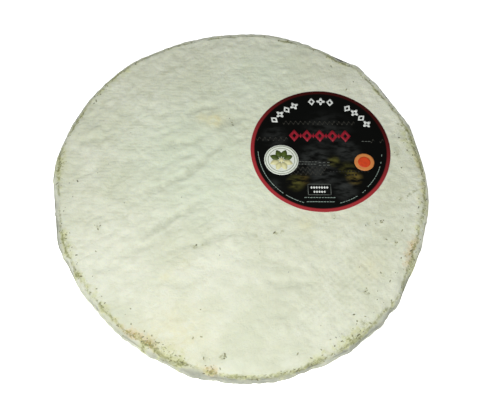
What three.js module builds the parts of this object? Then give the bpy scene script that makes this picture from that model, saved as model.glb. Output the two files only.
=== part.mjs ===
// A whole wheel of soft, white-rinded cheese with a round paper label on its top face.
//
// The wheel is one piece: a low disc, pressed flat above and below by the draining mats,
// with a side that has slumped outwards below its top edge while it ripened. The label
// is a thin paper disc that lies on the top face and follows its swell.
//
// Millimetres, +Z up. The origin is on the resting face, under the middle of the wheel.
import * as THREE from 'three';

// Driving dimensions.
const wheelDiameter = 365; // across the belly, the widest part of the side
const wheelHeight = 28; // from the resting face to the flat of the top
const bellyHeight = 11; // where the side is widest
const shoulderInset = 12; // the top face ends this far inside the belly
const footInset = 9; // the resting face ends this far inside the belly
const sideFullness = 2.4; // exponent of the side's curve: 2 is an ellipse, more is squarer
const labelDiameter = 136;
const labelThickness = 0.2;
const labelGap = 0.3; // clearance that keeps the two solids apart
const labelCentre = new THREE.Vector2(77, 36);

// Fineness of the meshes.
const wheelSegments = 144;
const topRings = 8;
const sideSteps = 6; // in the shoulder, and again in the foot
const bottomRings = 2;
const labelSegments = 72;
const labelRings = 6;

const wheelRadius = wheelDiameter / 2;

// The hoop leaves the wheel a little out of round: lobes that run all the way round,
// with the bearing of one crest.
const lobes = [
  { count: 2, height: 2.4, bearing: -77 },
  { count: 3, height: 2.1, bearing: 39 },
  { count: 4, height: 0.3, bearing: -2 },
  { count: 7, height: 0.3, bearing: 4 },
  { count: 8, height: 0.6, bearing: -5 },
];

// Knocks and bulges in the soft edge: each is a local bump, or a dent if it is negative,
// with its half-width in degrees.
const knocks = [
  { bearing: 14, width: 4, height: -1.6 },
  { bearing: 24, width: 4, height: 1.6 },
  { bearing: 36, width: 4, height: -1.8 },
  { bearing: 50, width: 3, height: 2.6 },
  { bearing: 158, width: 5, height: -1.2 },
  { bearing: 168, width: 4, height: 1.5 },
  { bearing: 178, width: 4, height: -1.7 },
  { bearing: 190, width: 4, height: 2.0 },
  { bearing: 201, width: 4, height: -1.5 },
  { bearing: 236, width: 4, height: 1.6 },
  { bearing: 245, width: 4, height: -1.3 },
  { bearing: 320, width: 4, height: 2.2 },
  { bearing: 335, width: 4, height: -2.2 },
  { bearing: 341, width: 3, height: 2.4 },
];

// The top isn't level: broad, shallow waves left by the mats, and a fall towards the edge.
const swellHeight = 0.6;
const swellLengthX = 210;
const swellLengthY = 160;
const edgeFall = 1.2; // how far the top has sunk at its edge

// How far the outline at this bearing, in radians, stands out of the true circle.
function outOfRound(bearing) {
  let out = 0;
  for (const lobe of lobes) {
    out += lobe.height * Math.cos(lobe.count * (bearing - THREE.MathUtils.degToRad(lobe.bearing)));
  }
  for (const knock of knocks) {
    const away = THREE.MathUtils.radToDeg(bearing) - knock.bearing;
    const nearest = away - 360 * Math.round(away / 360);
    out += knock.height * Math.exp(-((nearest / knock.width) ** 2));
  }
  return out;
}

// Height of the top face over its nominal level, at a point of the wheel.
function swell(x, y) {
  const waves = Math.cos((2 * Math.PI * x) / swellLengthX) * Math.sin((2 * Math.PI * y) / swellLengthY);
  const fall = (Math.hypot(x, y) / wheelRadius) ** 4;
  return swellHeight * waves - edgeFall * fall;
}

// A quarter of a superellipse from (1, 0) to (0, 1), which rounds the shoulder and the foot.
function roundedCorner(steps) {
  const points = [];
  for (let i = 0; i <= steps; i += 1) {
    const turn = (i / steps) * (Math.PI / 2);
    const across = Math.cos(turn) ** (2 / sideFullness);
    const up = Math.sin(turn) ** (2 / sideFullness);
    points.push(new THREE.Vector2(across, up));
  }
  return points;
}

// Half of the wheel's section, as (radius, height), from the middle of the base to the
// middle of the top.
function wheelProfile() {
  const profile = [];
  const footRadius = wheelRadius - footInset;
  const topRadius = wheelRadius - shoulderInset;
  for (let i = 0; i < bottomRings; i += 1) {
    profile.push(new THREE.Vector2((footRadius * i) / bottomRings, 0));
  }
  for (const corner of roundedCorner(sideSteps).reverse()) {
    profile.push(new THREE.Vector2(footRadius + footInset * corner.x, bellyHeight * (1 - corner.y)));
  }
  for (const corner of roundedCorner(sideSteps).slice(1)) {
    const height = bellyHeight + (wheelHeight - bellyHeight) * corner.y;
    profile.push(new THREE.Vector2(topRadius + shoulderInset * corner.x, height));
  }
  for (let i = topRings - 1; i >= 0; i -= 1) {
    profile.push(new THREE.Vector2((topRadius * i) / topRings, wheelHeight));
  }
  return profile;
}

// LatheGeometry turns about Y, so the part is stood up with Y as its height.
function turned(profile, segments) {
  return new THREE.LatheGeometry(profile, segments).rotateX(Math.PI / 2);
}

function makeWheel() {
  const geometry = turned(wheelProfile(), wheelSegments);
  const position = geometry.getAttribute('position');
  for (let i = 0; i < position.count; i += 1) {
    const bearing = Math.atan2(position.getY(i), position.getX(i));
    const stretch = 1 + outOfRound(bearing) / wheelRadius;
    const x = position.getX(i) * stretch;
    const y = position.getY(i) * stretch;
    const height = position.getZ(i);
    // The swell belongs to the top: it fades down the side and never reaches the base.
    const share = Math.max(0, (height - bellyHeight) / (wheelHeight - bellyHeight));
    position.setXYZ(i, x, y, height + share * swell(x, y));
  }
  geometry.computeVertexNormals();
  const rind = new THREE.MeshStandardMaterial({ color: 0xdfe2cb, roughness: 0.95, metalness: 0 });
  const wheel = new THREE.Mesh(geometry, rind);
  wheel.name = 'cheese_wheel';
  return wheel;
}

function makeLabel() {
  const labelRadius = labelDiameter / 2;
  const profile = [];
  for (let i = 0; i <= labelRings; i += 1) {
    profile.push(new THREE.Vector2((labelRadius * i) / labelRings, 0));
  }
  for (let i = labelRings; i >= 0; i -= 1) {
    profile.push(new THREE.Vector2((labelRadius * i) / labelRings, labelThickness));
  }
  const geometry = turned(profile, labelSegments);
  const position = geometry.getAttribute('position');
  for (let i = 0; i < position.count; i += 1) {
    const lift = swell(labelCentre.x + position.getX(i), labelCentre.y + position.getY(i));
    position.setZ(i, position.getZ(i) + lift);
  }
  geometry.computeVertexNormals();
  const paper = new THREE.MeshStandardMaterial({ color: 0x121212, roughness: 0.45, metalness: 0 });
  const label = new THREE.Mesh(geometry, paper);
  label.name = 'paper_label';
  label.position.set(labelCentre.x, labelCentre.y, wheelHeight + labelGap);
  return label;
}

const part = new THREE.Group();
const wheel = makeWheel();
part.add(wheel);
part.add(makeLabel());

// The outline is lopsided, so the whole part is moved to stand centred on the origin.
wheel.geometry.computeBoundingBox();
const middle = wheel.geometry.boundingBox.getCenter(new THREE.Vector3());
part.position.set(-middle.x, -middle.y, 0);

export default part;
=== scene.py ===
# A whole wheel of bloomy-rinded cheese with a round paper label on its top face.
#
# The packed frame gives the sizes and places: the outline at the belly, the level of the
# top face, and where the label lies. Each operator below makes one piece, or one group of
# like pieces, around that frame. Shapes are worked out in millimetres, meshes are in metres.

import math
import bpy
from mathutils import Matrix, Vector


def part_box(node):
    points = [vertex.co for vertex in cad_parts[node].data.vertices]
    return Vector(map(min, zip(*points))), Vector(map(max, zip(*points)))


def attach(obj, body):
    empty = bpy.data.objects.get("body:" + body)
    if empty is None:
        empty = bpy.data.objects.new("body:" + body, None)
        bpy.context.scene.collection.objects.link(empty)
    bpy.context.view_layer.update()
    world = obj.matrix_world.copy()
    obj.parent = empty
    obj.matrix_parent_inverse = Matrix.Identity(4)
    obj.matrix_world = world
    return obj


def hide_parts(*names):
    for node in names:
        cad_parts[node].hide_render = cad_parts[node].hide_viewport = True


bl_info = {
    "name": "Cheese wheel",
    "version": (1, 0, 0),
    "blender": (4, 5, 0),
    "location": "3D View > Sidebar > Cheese wheel",
    "description": "Builds a bloomy-rinded cheese wheel with a round paper label",
    "category": "Add Mesh",
}

import bmesh
import bpy
import numpy as np
from bpy.props import FloatProperty, FloatVectorProperty, PointerProperty
from bpy.types import Node, NodeSocket, Operator, Panel, PropertyGroup
from mathutils import Vector, geometry
from mathutils.bvhtree import BVHTree

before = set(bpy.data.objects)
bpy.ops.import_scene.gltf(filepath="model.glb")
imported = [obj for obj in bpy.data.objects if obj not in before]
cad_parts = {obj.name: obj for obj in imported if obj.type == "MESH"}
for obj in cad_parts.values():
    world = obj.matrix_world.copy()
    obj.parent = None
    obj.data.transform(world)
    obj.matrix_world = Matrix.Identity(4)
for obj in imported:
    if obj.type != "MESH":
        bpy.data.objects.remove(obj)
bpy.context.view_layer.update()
WHEEL_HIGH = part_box("cheese_wheel")[1]
LABEL_LOW, LABEL_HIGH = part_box("paper_label")

MM = 0.001
FULL_TURN = 2 * math.pi
WAVES = 12
BODY = "root"


# ---------------------------------------------------------------- small helpers


def linear(code):
    """An sRGB hex colour as linear red, green and blue."""
    channels = [int(code[i : i + 2], 16) / 255 for i in (1, 3, 5)]
    return [c / 12.92 if c <= 0.04045 else ((c + 0.055) / 1.055) ** 2.4 for c in channels]


def length(name, description, millimetres):
    """A property for a size, given in millimetres and held in metres."""
    settings = {"default": millimetres * MM, "unit": "LENGTH", "precision": 5}
    return FloatProperty(name=name, description=description, **settings)


def colour(name, description, code):
    """A property for a colour, given as an sRGB hex value and held as linear."""
    settings = {"default": linear(code), "min": 0, "max": 1, "subtype": "COLOR"}
    return FloatVectorProperty(name=name, description=description, **settings)


def density(name, description, default):
    """A property for a number per square metre."""
    return FloatProperty(name=name, description=description, default=default, min=0)


def share(name, description, default):
    """A property for a share from 0 to 1."""
    settings = {"default": default, "min": 0, "max": 1, "subtype": "FACTOR"}
    return FloatProperty(name=name, description=description, **settings)


def add(tree, kind, inputs=None, **settings):
    """Adds a node. inputs gives sockets, by name or number, values or the nodes that feed them."""
    node = tree.nodes.new(kind)
    for name, value in settings.items():
        setattr(node, name, value)
    for key, value in (inputs or {}).items():
        if isinstance(value, Node):
            value = value.outputs[0]
        if isinstance(value, NodeSocket):
            tree.links.new(value, node.inputs[key])
        else:
            node.inputs[key].default_value = value
    return node


def smoothstep(low, high, value):
    """0 below low, 1 above high, and a smooth rise between."""
    t = np.clip((value - low) / (high - low), 0, 1)
    return t * t * (3 - 2 * t)


def at_least(floor, part):
    """A part from 0 to 1 squeezed so that it starts from a floor."""
    return floor + (1 - floor) * part


def bearings_round(count):
    """Evenly spaced bearings round a full turn, in radians."""
    return np.arange(count) * FULL_TURN / count


def bumps(bearings, humps):
    """Smooth humps round the wheel, each given as its bearing and half-width in degrees, and height."""
    total = np.zeros(len(bearings))
    for middle, half_width, height in humps:
        away = (np.degrees(bearings) - middle + 180) % 360 - 180
        total += height * np.exp(-((away / half_width) ** 2))
    return total


def ripple(bearings, seed, fewest, most):
    """A random ripple round the wheel, of about unit height, with from fewest to most waves."""
    rng = np.random.default_rng(seed)
    total = np.zeros(len(bearings))
    for count in range(fewest, most + 1):
        total += rng.normal() * np.cos(count * bearings + rng.uniform(0, FULL_TURN))
    return total / math.sqrt(most - fewest + 1)


def waves(x, y, seed, size):
    """A random wavy height of about unit size over the plane, with waves about size across."""
    rng = np.random.default_rng(seed)
    total = np.zeros(len(x))
    for _ in range(WAVES):
        heading = rng.uniform(0, FULL_TURN)
        along = x * math.cos(heading) + y * math.sin(heading)
        total += np.cos(FULL_TURN * along / (size * rng.uniform(0.7, 1.5)) + rng.uniform(0, FULL_TURN))
    return total / math.sqrt(WAVES / 2)


def spots(x, y, listed):
    """Round soft spots on the top, each given as x, y and radius in millimetres, and strength."""
    total = np.zeros(len(x))
    for spot_x, spot_y, radius, strength in listed:
        total += strength * np.exp(-((x - spot_x) ** 2 + (y - spot_y) ** 2) / radius**2)
    return total


def smooth_path(points, steps):
    """A curve through the points, with so many steps from one to the next."""
    known = np.array([points[0], *points, points[-1]], float)
    path = []
    for a, b, c, d in zip(known, known[1:], known[2:], known[3:]):
        for t in np.arange(steps) / steps:
            bend = (2 * a - 5 * b + 4 * c - d) * t**2 + (3 * b - a - 3 * c + d) * t**3
            path.append(b + 0.5 * ((c - a) * t + bend))
    return np.array([*path, known[-1]])


class SmoothField:
    """A height known at scattered points, and read anywhere as their mean weighted by nearness."""

    BATCH = 4000

    def __init__(self, points, heights, reach):
        """Takes points in a plane, their heights, and how far nearness reaches."""
        self.points = points
        self.heights = heights
        self.reach = reach

    def at(self, x, y):
        """The height at each of these places."""
        found = np.empty(len(x))
        for part in np.array_split(np.arange(len(x)), 1 + len(x) // self.BATCH):
            gap = (x[part, None] - self.points[:, 0]) ** 2 + (y[part, None] - self.points[:, 1]) ** 2
            weight = np.exp(-gap / (2 * self.reach**2))
            found[part] = weight @ self.heights / weight.sum(1)
        return found


def tree_of(mesh):
    """The mesh's faces, for casting rays at."""
    return BVHTree.FromPolygons([v.co for v in mesh.vertices], [p.vertices for p in mesh.polygons])


def probe(tree, middle, half_width, step, reach):
    """The top of a mesh round a point as a smooth field, probed from above every step millimetres."""
    ticks = np.arange(-half_width, half_width + step / 2, step)
    points, heights = [], []
    for x in middle[0] + ticks:
        for y in middle[1] + ticks:
            hit = tree.ray_cast(Vector((x * MM, y * MM, 1)), Vector((0, 0, -1)))[0]
            if hit and math.hypot(x - middle[0], y - middle[1]) <= half_width:
                points.append((x, y))
                heights.append(hit.z / MM)
    return SmoothField(np.array(points), np.array(heights), reach)


def mesh_of(name, points, faces, attributes=None):
    """A smooth mesh from points in millimetres, with a number at each point for each attribute."""
    mesh = bpy.data.meshes.new(name)
    mesh.from_pydata((np.asarray(points) * MM).tolist(), [], faces)
    for title, values in (attributes or {}).items():
        mesh.attributes.new(title, "FLOAT", "POINT").data.foreach_set("value", values.astype(np.float32))
    mesh.shade_smooth()
    mesh.update()
    return mesh


def placed(name, data):
    """A new object in the scene, at the origin."""
    thing = bpy.data.objects.new(name, data)
    bpy.context.scene.collection.objects.link(thing)
    return thing


def piece_of(name, mesh):
    """The finished piece: an object at the origin that rides on the wheel's body."""
    piece = placed(name, mesh)
    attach(piece, BODY)
    return piece


def grown(mesh, tree, values):
    """The plain mesh that a node tree makes of another. values are the tree's inputs, by name."""
    source = placed(tree.name, mesh)
    modifier = source.modifiers.new(tree.name, "NODES")
    modifier.node_group = tree
    for item in tree.interface.items_tree:
        if item.in_out == "INPUT" and item.name in values:
            modifier[item.identifier] = values[item.name]
    evaluated = source.evaluated_get(bpy.context.evaluated_depsgraph_get())
    made = bpy.data.meshes.new_from_object(evaluated)
    source.modifiers.remove(modifier)
    bpy.data.objects.remove(source)
    return made


def new_tree(name, inputs):
    """A geometry tree with a mesh in and out and these named inputs, and its input and output nodes."""
    tree = bpy.data.node_groups.new(name, "GeometryNodeTree")
    tree.interface.new_socket("Geometry", in_out="INPUT", socket_type="NodeSocketGeometry")
    tree.interface.new_socket("Geometry", in_out="OUTPUT", socket_type="NodeSocketGeometry")
    for title, kind in inputs.items():
        tree.interface.new_socket(title, in_out="INPUT", socket_type="NodeSocket" + kind)
    return tree, add(tree, "NodeGroupInput").outputs


def ended(tree, geometry, material):
    """The tree, ended by making its instances real and giving them their material."""
    realized = add(tree, "GeometryNodeRealizeInstances", {0: geometry})
    finished = add(tree, "GeometryNodeSetMaterial", {0: realized, "Material": material})
    add(tree, "NodeGroupOutput", {0: finished})
    return tree


def new_material(name):
    """An empty node material, its tree, and the position on the object."""
    material = bpy.data.materials.new(name)
    material.use_nodes = True
    tree = material.node_tree
    tree.nodes.clear()
    return material, tree, add(tree, "ShaderNodeTexCoord").outputs["Object"]


def surfaced(material, inputs):
    """The material, finished with a surface that takes these inputs."""
    tree = material.node_tree
    shader = add(tree, "ShaderNodeBsdfPrincipled", inputs)
    add(tree, "ShaderNodeOutputMaterial", {"Surface": shader})
    return material


def patches(tree, place, size, low, high, detail=2.0, roughness=0.6):
    """Random soft-edged patches so many millimetres across, where a noise rises from low to high."""
    inputs = {"Vector": place, "Scale": 1 / (size * MM), "Detail": detail, "Roughness": roughness}
    noise = add(tree, "ShaderNodeTexNoise", inputs)
    inputs = {"Value": noise, "From Min": low, "From Max": high}
    return add(tree, "ShaderNodeMapRange", inputs, interpolation_type="SMOOTHSTEP")


def marked(tree, attribute, low, high):
    """How strongly the mesh's attribute marks each point, from 0 at low to 1 at high."""
    value = add(tree, "ShaderNodeAttribute", attribute_name=attribute).outputs["Fac"]
    inputs = {"Value": value, "From Min": low, "From Max": high}
    return add(tree, "ShaderNodeMapRange", inputs, interpolation_type="SMOOTHSTEP")


def blotted(tree, attribute, place, size, detail, spread, low, high):
    """An attribute broken into blots so many millimetres across by a noise that spread widens."""
    value = add(tree, "ShaderNodeAttribute", attribute_name=attribute).outputs["Fac"]
    inputs = {"Vector": place, "Scale": 1 / (size * MM), "Detail": detail, "Roughness": 0.6}
    noise = add(tree, "ShaderNodeTexNoise", inputs)
    centred = add(tree, "ShaderNodeMath", {0: noise, 1: -0.5}, operation="ADD")
    blot = add(tree, "ShaderNodeMath", {0: centred, 1: spread, 2: value}, operation="MULTIPLY_ADD")
    inputs = {"Value": blot, "From Min": low, "From Max": high}
    return add(tree, "ShaderNodeMapRange", inputs, interpolation_type="SMOOTHSTEP")


def tinted(tree, base, tone, *amounts):
    """A tone laid over a base, as thickly as the product of the amounts says."""
    thickness = 1.0
    for amount in amounts:
        thickness = add(tree, "ShaderNodeMath", {0: amount, 1: thickness}, operation="MULTIPLY")
    return add(tree, "ShaderNodeMix", {0: thickness, 6: base, 7: tone}, data_type="RGBA").outputs[2]


# ---------------------------------------------------------------- settings


class RindSizes(PropertyGroup):
    """Sizes of the wheel's rind."""

    shoulder_inset: length("Shoulder inset", "How far in from the belly the top is level", 12)
    edge_inset: length("Edge inset", "How far inside the belly the side begins", 1)
    foot_inset: length("Foot inset", "How far the resting face ends inside the belly", 9)
    lip_depth: length("Lip depth", "Depth of the groove below the dark lip", 0.5)
    rib_pitch: length("Rib pitch", "From one mat rib to the next", 3.6)
    rib_depth: length("Rib depth", "How deep the mat pressed its ribs", 0.2)
    weave_pitch: length("Weave pitch", "Size of the square weave where the mats crossed", 6.9)
    weave_depth: length("Weave depth", "How deep the weave was pressed", 0.31)
    lump_size: length("Lump size", "Width of the soft lumps", 25)
    lump_height: length("Lump height", "Height of the soft lumps", 1.15)
    fold_width: length("Fold width", "Width of the slanting folds", 13)
    fold_height: length("Fold height", "Height of the slanting folds", 1.0)
    dimple_size: length("Dimple size", "Width of the small dimples", 9)
    dimple_height: length("Dimple height", "Height of the small dimples", 1.3)
    nub_size: length("Nub size", "Width of the nubs between the dimples", 5)
    nub_height: length("Nub height", "Height of the nubs between the dimples", 0.4)
    wrinkle_size: length("Wrinkle size", "Distance between the fine wrinkles", 20)
    wrinkle_depth: length("Wrinkle depth", "Depth of the fine wrinkles", 0.45)
    grain_size: length("Grain size", "Width of the rind's coarse grain", 3)
    grain_height: length("Grain height", "Height of the rind's coarse grain", 0.36)


class RindColours(PropertyGroup):
    """Colours of the rind and of the moulds on it."""

    bloom: colour("Bloom", "White mould felt, where it is thick", "#E9ECD8")
    thin_bloom: colour("Thin bloom", "The felt where the curd shows through", "#DCE0C8")
    # The hollow tone is random mottling and painted shade in the mat marks; the crease tone is painted
    # shade in the creases.
    hollow: colour("Hollow", "The bottom of creases and mat marks", "#C6C9AC")
    crease: colour("Crease", "Grey skin in the creases", "#BCC1AA")
    sage: colour("Sage", "Bloom with a green cast", "#DAE6CC")
    honey: colour("Honey", "Patches rubbed free of bloom", "#E3DBA6")
    # The flank tone is the side's own grey, darkened further as painted shade on the side wall.
    flank: colour("Flank", "The side, grey under a thin bloom", "#A5A898")
    cream: colour("Cream", "Pale stain where the skin wore thin along the edge", "#E8D5B4")
    gold: colour("Gold", "Golden-brown stain in the cream", "#B09A5C")
    pistachio: colour("Pistachio", "Pale green haze round the olive mould", "#D4D7A5")
    olive: colour("Olive", "Olive mould along the edge", "#8E915C")
    umber: colour("Umber", "Dark specks of old mould", "#64644C")
    fawn: colour("Fawn", "The palest flecks of old mould", "#A6A684")


class FleckSizes(PropertyGroup):
    """Sizes and number of the mould flecks."""

    smallest_fleck: length("Smallest fleck", "Width of the smallest dark fleck", 0.6)
    largest_fleck: length("Largest fleck", "Width of the largest dark fleck", 1.5)
    fleck_density: density("Fleck density", "Dark flecks per square metre where they are thickest", 110000)


class LabelSizes(PropertyGroup):
    """Sizes of the paper label and of its print."""

    paper_thickness: length("Paper thickness", "Thickness of the paper", 0.15)
    edge_lift: length("Edge lift", "How far the loose stretches of the edge curl up", 0.5)
    border_width: length("Border width", "Width of the red border", 3.8)
    ink_thickness: length("Ink thickness", "How far the print stands on the paper", 0.05)
    floret_height: length("Floret height", "Height of the white ornaments in the arc", 9)
    lozenge_height: length("Lozenge height", "Height of the red lozenges", 14)
    dash_height: length("Dash height", "Height of the fine dashes", 0.6)
    wave_height: length("Wave height", "Height of the faint waves", 3.4)
    frame_line: length("Frame line", "Width of the beaded frame's line", 0.5)


class LabelColours(PropertyGroup):
    """Colours of the label's inks, and of the painted sheen on its field."""

    field: colour("Field", "Black ink of the field", "#050604")
    border_bright: colour("Bright border", "Border ink at the near side", "#A63337")
    border_dark: colour("Dark border", "Border ink at the far side", "#3A0A08")
    olive_haze: colour("Olive haze", "Olive patches printed on the field", "#5E5C2A")
    gold_haze: colour("Gold haze", "Gold patches printed on the field", "#74642F")
    # Slate patches are a painted sheen on the black field.
    slate_haze: colour("Slate haze", "Slate patches printed on the field", "#3A3D3B")
    white_ink: colour("White ink", "The arc of florets and the frame's beads", "#EEF2EC")
    silver_ink: colour("Silver ink", "The fine dashes round the edge", "#9FB2A6")
    grey_ink: colour("Grey ink", "The faint rows of waves", "#3F3E36")
    ash_ink: colour("Ash ink", "The frame's line and the short rows", "#6E736C")
    red_ink: colour("Red ink", "The row of lozenges", "#9C1A2C")
    pale_disc: colour("Pale disc", "The round field of the rosette", "#E4EADD")
    leaf_green: colour("Leaf green", "The rosette's rings and upper petals", "#4E5F22")
    cream: colour("Cream", "The rosette's heart and lower petals", "#E2DFA9")
    amber: colour("Amber", "The round spot", "#D98A4A")
    vermilion: colour("Vermilion", "The spot's heart", "#D9481F")


class StageSettings(PropertyGroup):
    """The floor and the lights."""

    floor_width: length("Floor width", "Side of the square floor", 6000)
    key_power: FloatProperty(
        name="Key power", description="Power of the key light", default=4.46, unit="POWER"
    )
    sky: share("Sky", "Strength of the even light from all round", 0.12)
    table_glow: share("Table glow", "Light that the lit table gives off", 0.85)


SETTINGS = {
    "rind_sizes": RindSizes,
    "rind_colours": RindColours,
    "fleck_sizes": FleckSizes,
    "label_sizes": LabelSizes,
    "label_colours": LabelColours,
    "stage_settings": StageSettings,
}


# ---------------------------------------------------------------- the rind's shape

WHEEL_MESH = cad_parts["cheese_wheel"].data
WHEEL_TREE = tree_of(WHEEL_MESH)
WHEEL_RADIUS = max(WHEEL_HIGH) / MM
BELLY_HEIGHT = max(WHEEL_MESH.vertices, key=lambda v: v.co.xy.length_squared).co.z / MM
LABEL_X = (LABEL_LOW.x + LABEL_HIGH.x) / 2 / MM
LABEL_Y = (LABEL_LOW.y + LABEL_HIGH.y) / 2 / MM
LABEL_RADIUS = (LABEL_HIGH.x - LABEL_LOW.x) / 2 / MM

# Fineness of the rind's mesh. The rows on top are a quarter of a mat rib apart.
EDGE_POINTS = 720
TOP_RINGS = [0, 0.5, 1.1, 1.9, 2.9, 4.2]
TOP_STEP_X = 1.75
TOP_STEP_Y = 0.95
BASE_RINGS = [0, 1.4, 3.2]
BASE_STEP = 2.8
# The triangulator keeps what lies inside the outline, and takes points this near each other as one.
KEEP_INSIDE = 1
SAME_POINT = 1e-6
UPPER_ROWS = 6
LOWER_ROWS = 9

# The profile: a full round shoulder above the belly and a foot below it.
PROFILE_FULLNESS = 2.4
# The level of the frame's top is probed this far inside its edge, so often, and smoothed so far.
LEVEL_MARGIN = 18
LEVEL_STEP = 16
LEVEL_REACH = 13
# The relief fades out over the last of the way to the label, and to the belly, where the grain
# grows instead.
LABEL_BLEND = 1.5
CALM_RIM = (2, 10)
GRAINY_RIM = (4, 16)
# The grain fades out again at the foot, and no specks lie below this height.
CALM_FOOT = (0.3, 6)
SPECK_FOOT = 4
# The foot is stained this strongly all round, and the base counts as this far from the lip.
FOOT_STAIN = 0.3
BASE_LIP_GAP = -40

# How far the outline stands out from the frame's, and how far inside the belly the top's skin
# ends in a dark lip, each as bearing and half-width in degrees, and millimetres.
OUTLINE_HUMPS = [(100, 50, -1.0), (200, 5, 2.6), (187, 5, -1.6), (335, 3, 2.0), (345, 4, -1.2)]
# Smaller dents and knobs of the outline, which the lip does not follow.
OUTLINE_DENTS = [
    (8, 4, -0.8), (19, 4, 1.1), (29, 5, -1.3), (39, 3, 0.8), (48, 2, 1.2), (55.5, 3.5, -3.2),
    (64, 3, -0.6), (73, 3, 0.4), (82, 7, 0.9), (119, 5, -0.9), (129, 7, 0.6), (158, 2, 0.9),
    (165, 4, -1.9), (168.5, 1.5, -0.9), (176, 4, 1.2), (187, 4, -2.1), (193, 2.5, -2.9), (200, 2, 1.2),
    (208, 2, -1.2), (222.5, 3, -1.3), (238, 2.5, -1.1), (244, 3.5, 2.7), (257, 4, 1.4),
    (264.5, 1.5, -1.4), (281, 5, 1.5), (294, 1.5, 1.2), (302, 1.5, 1.6), (313, 3, 1.4),
    (318, 1.5, -1.5), (327, 2.5, -2.2), (342, 3, -1.1),
]
OUTLINE_RIPPLE = 0.25
LIP_INSET = 6.2
LIP_INSET_HUMPS = [
    (28, 7, 3.0), (40, 6, 2.6), (54, 8, 3.8), (73, 9, 3.0), (96, 14, 2.6), (118, 10, 1.6),
    (188, 7, 2.2), (212, 16, -1.3), (235, 6, -1.1), (248.5, 5.5, -2.8), (280, 8, -1.0), (284, 32, -4.1),
    (306, 8, -0.8), (325, 7, -1.6), (343, 6, 2.2),
]
LIP_RAGGEDNESS = 0.45
LIP_WIDTH = 1.1
LIP_STEP = 0.35
LIP_GROOVE_WIDTH = 0.7

# Creases in the top: depth of the valley, height of the shoulder behind it, and the points
# that it runs through, from left to right.
CREASES = [
    (1.1, 0.8, [(-92, -60), (-80, -49), (-60, -35), (-42, -23), (-26, -17)]),
    (0.9, 0.8, [(-60, -74), (-48, -64), (-36, -61), (-12, -51), (13, -51)]),
    (0.6, 0.6, [(-118, -69), (-100, -71), (-85, -64), (-71, -60)]),
    (0.5, 0.5, [(-138, -90), (-120, -86), (-108, -83)]),
    (0.5, 0.4, [(-82, -101), (-62, -101), (-43, -102)]),
    (1.0, 0.8, [(18, -99), (30, -101), (42, -102), (60, -100), (73, -95)]),
    (0.6, 0.6, [(56, -55), (66, -58), (73, -60), (84, -64)]),
    (0.4, 0.5, [(-13, -91), (-4, -93), (3, -93)]),
    (0.5, 0.5, [(104, -42), (118, -39), (132, -37)]),
    (0.6, 0.5, [(18, -128), (42, -132), (68, -144)]),
    (1.2, 0.8, [(-97, -11), (-83, -7), (-69, -1), (-53, 10), (-35, 25), (-20, 40), (-5, 52)]),
    (1.0, 1.1, [(-80, 44), (-68, 44), (-57, 44), (-44, 47), (-30, 51)]),
    (1.0, 0.7, [(-55, 78), (-44, 83), (-34, 87), (-16, 96)]),
    (1.2, 0.7, [(-26, 62), (-20, 65), (-6, 70), (8, 78)]),
    (0.9, 1.2, [(-160, 43), (-146, 47), (-128, 51)]),
    (0.5, 0.6, [(-134, -14), (-125, -9), (-115, -3)]),
    (0.5, 0.5, [(-120, 20), (-104, 24), (-90, 30)]),
    (0.5, 0.5, [(-124, 78), (-104, 82), (-84, 88)]),
    (0.4, 0.4, [(-30, 128), (-4, 132), (24, 136)]),
]
VALLEY_WIDTH = 4.2
SHOULDER_OFFSET = 9.0
SHOULDER_WIDTH = 6.5
CREASE_DEEPENING = 1.3
CREASE_TAPER = 0.6
CREASE_WOBBLE = 1.0
CREASE_WOBBLE_SIZE = 22
PATH_STEPS = 6

# Where the mats' marks are plainest: x, y, radius and strength.
RIB_SPOTS = [(-150, 10, 50, 0.7), (-110, 90, 60, 0.5), (-30, 130, 60, 0.35), (-90, -40, 50, 0.3)]
SMOOTH_SPOTS = [(-20, -135, 48, 0.8), (10, -95, 36, 0.6), (-90, -110, 32, 0.4)]
MOTTLE_SPOTS = [(150, -30, 45, 0.5), (0, 145, 60, 0.4), (-95, 100, 45, 0.4), (-50, 30, 45, 0.2)]
WEAVE_SPOTS = [
    (98, -100, 34, 1.0), (140, -62, 26, 0.9), (60, -128, 22, 0.6), (14, -62, 24, 0.7),
    (-150, -40, 22, 0.5), (2, -118, 20, 0.5), (-60, 70, 24, 0.35),
]
FOLD_SPOTS = [(-60, 0, 62, 0.8), (-30, 70, 44, 0.5), (-95, -60, 40, 0.45)]

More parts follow.
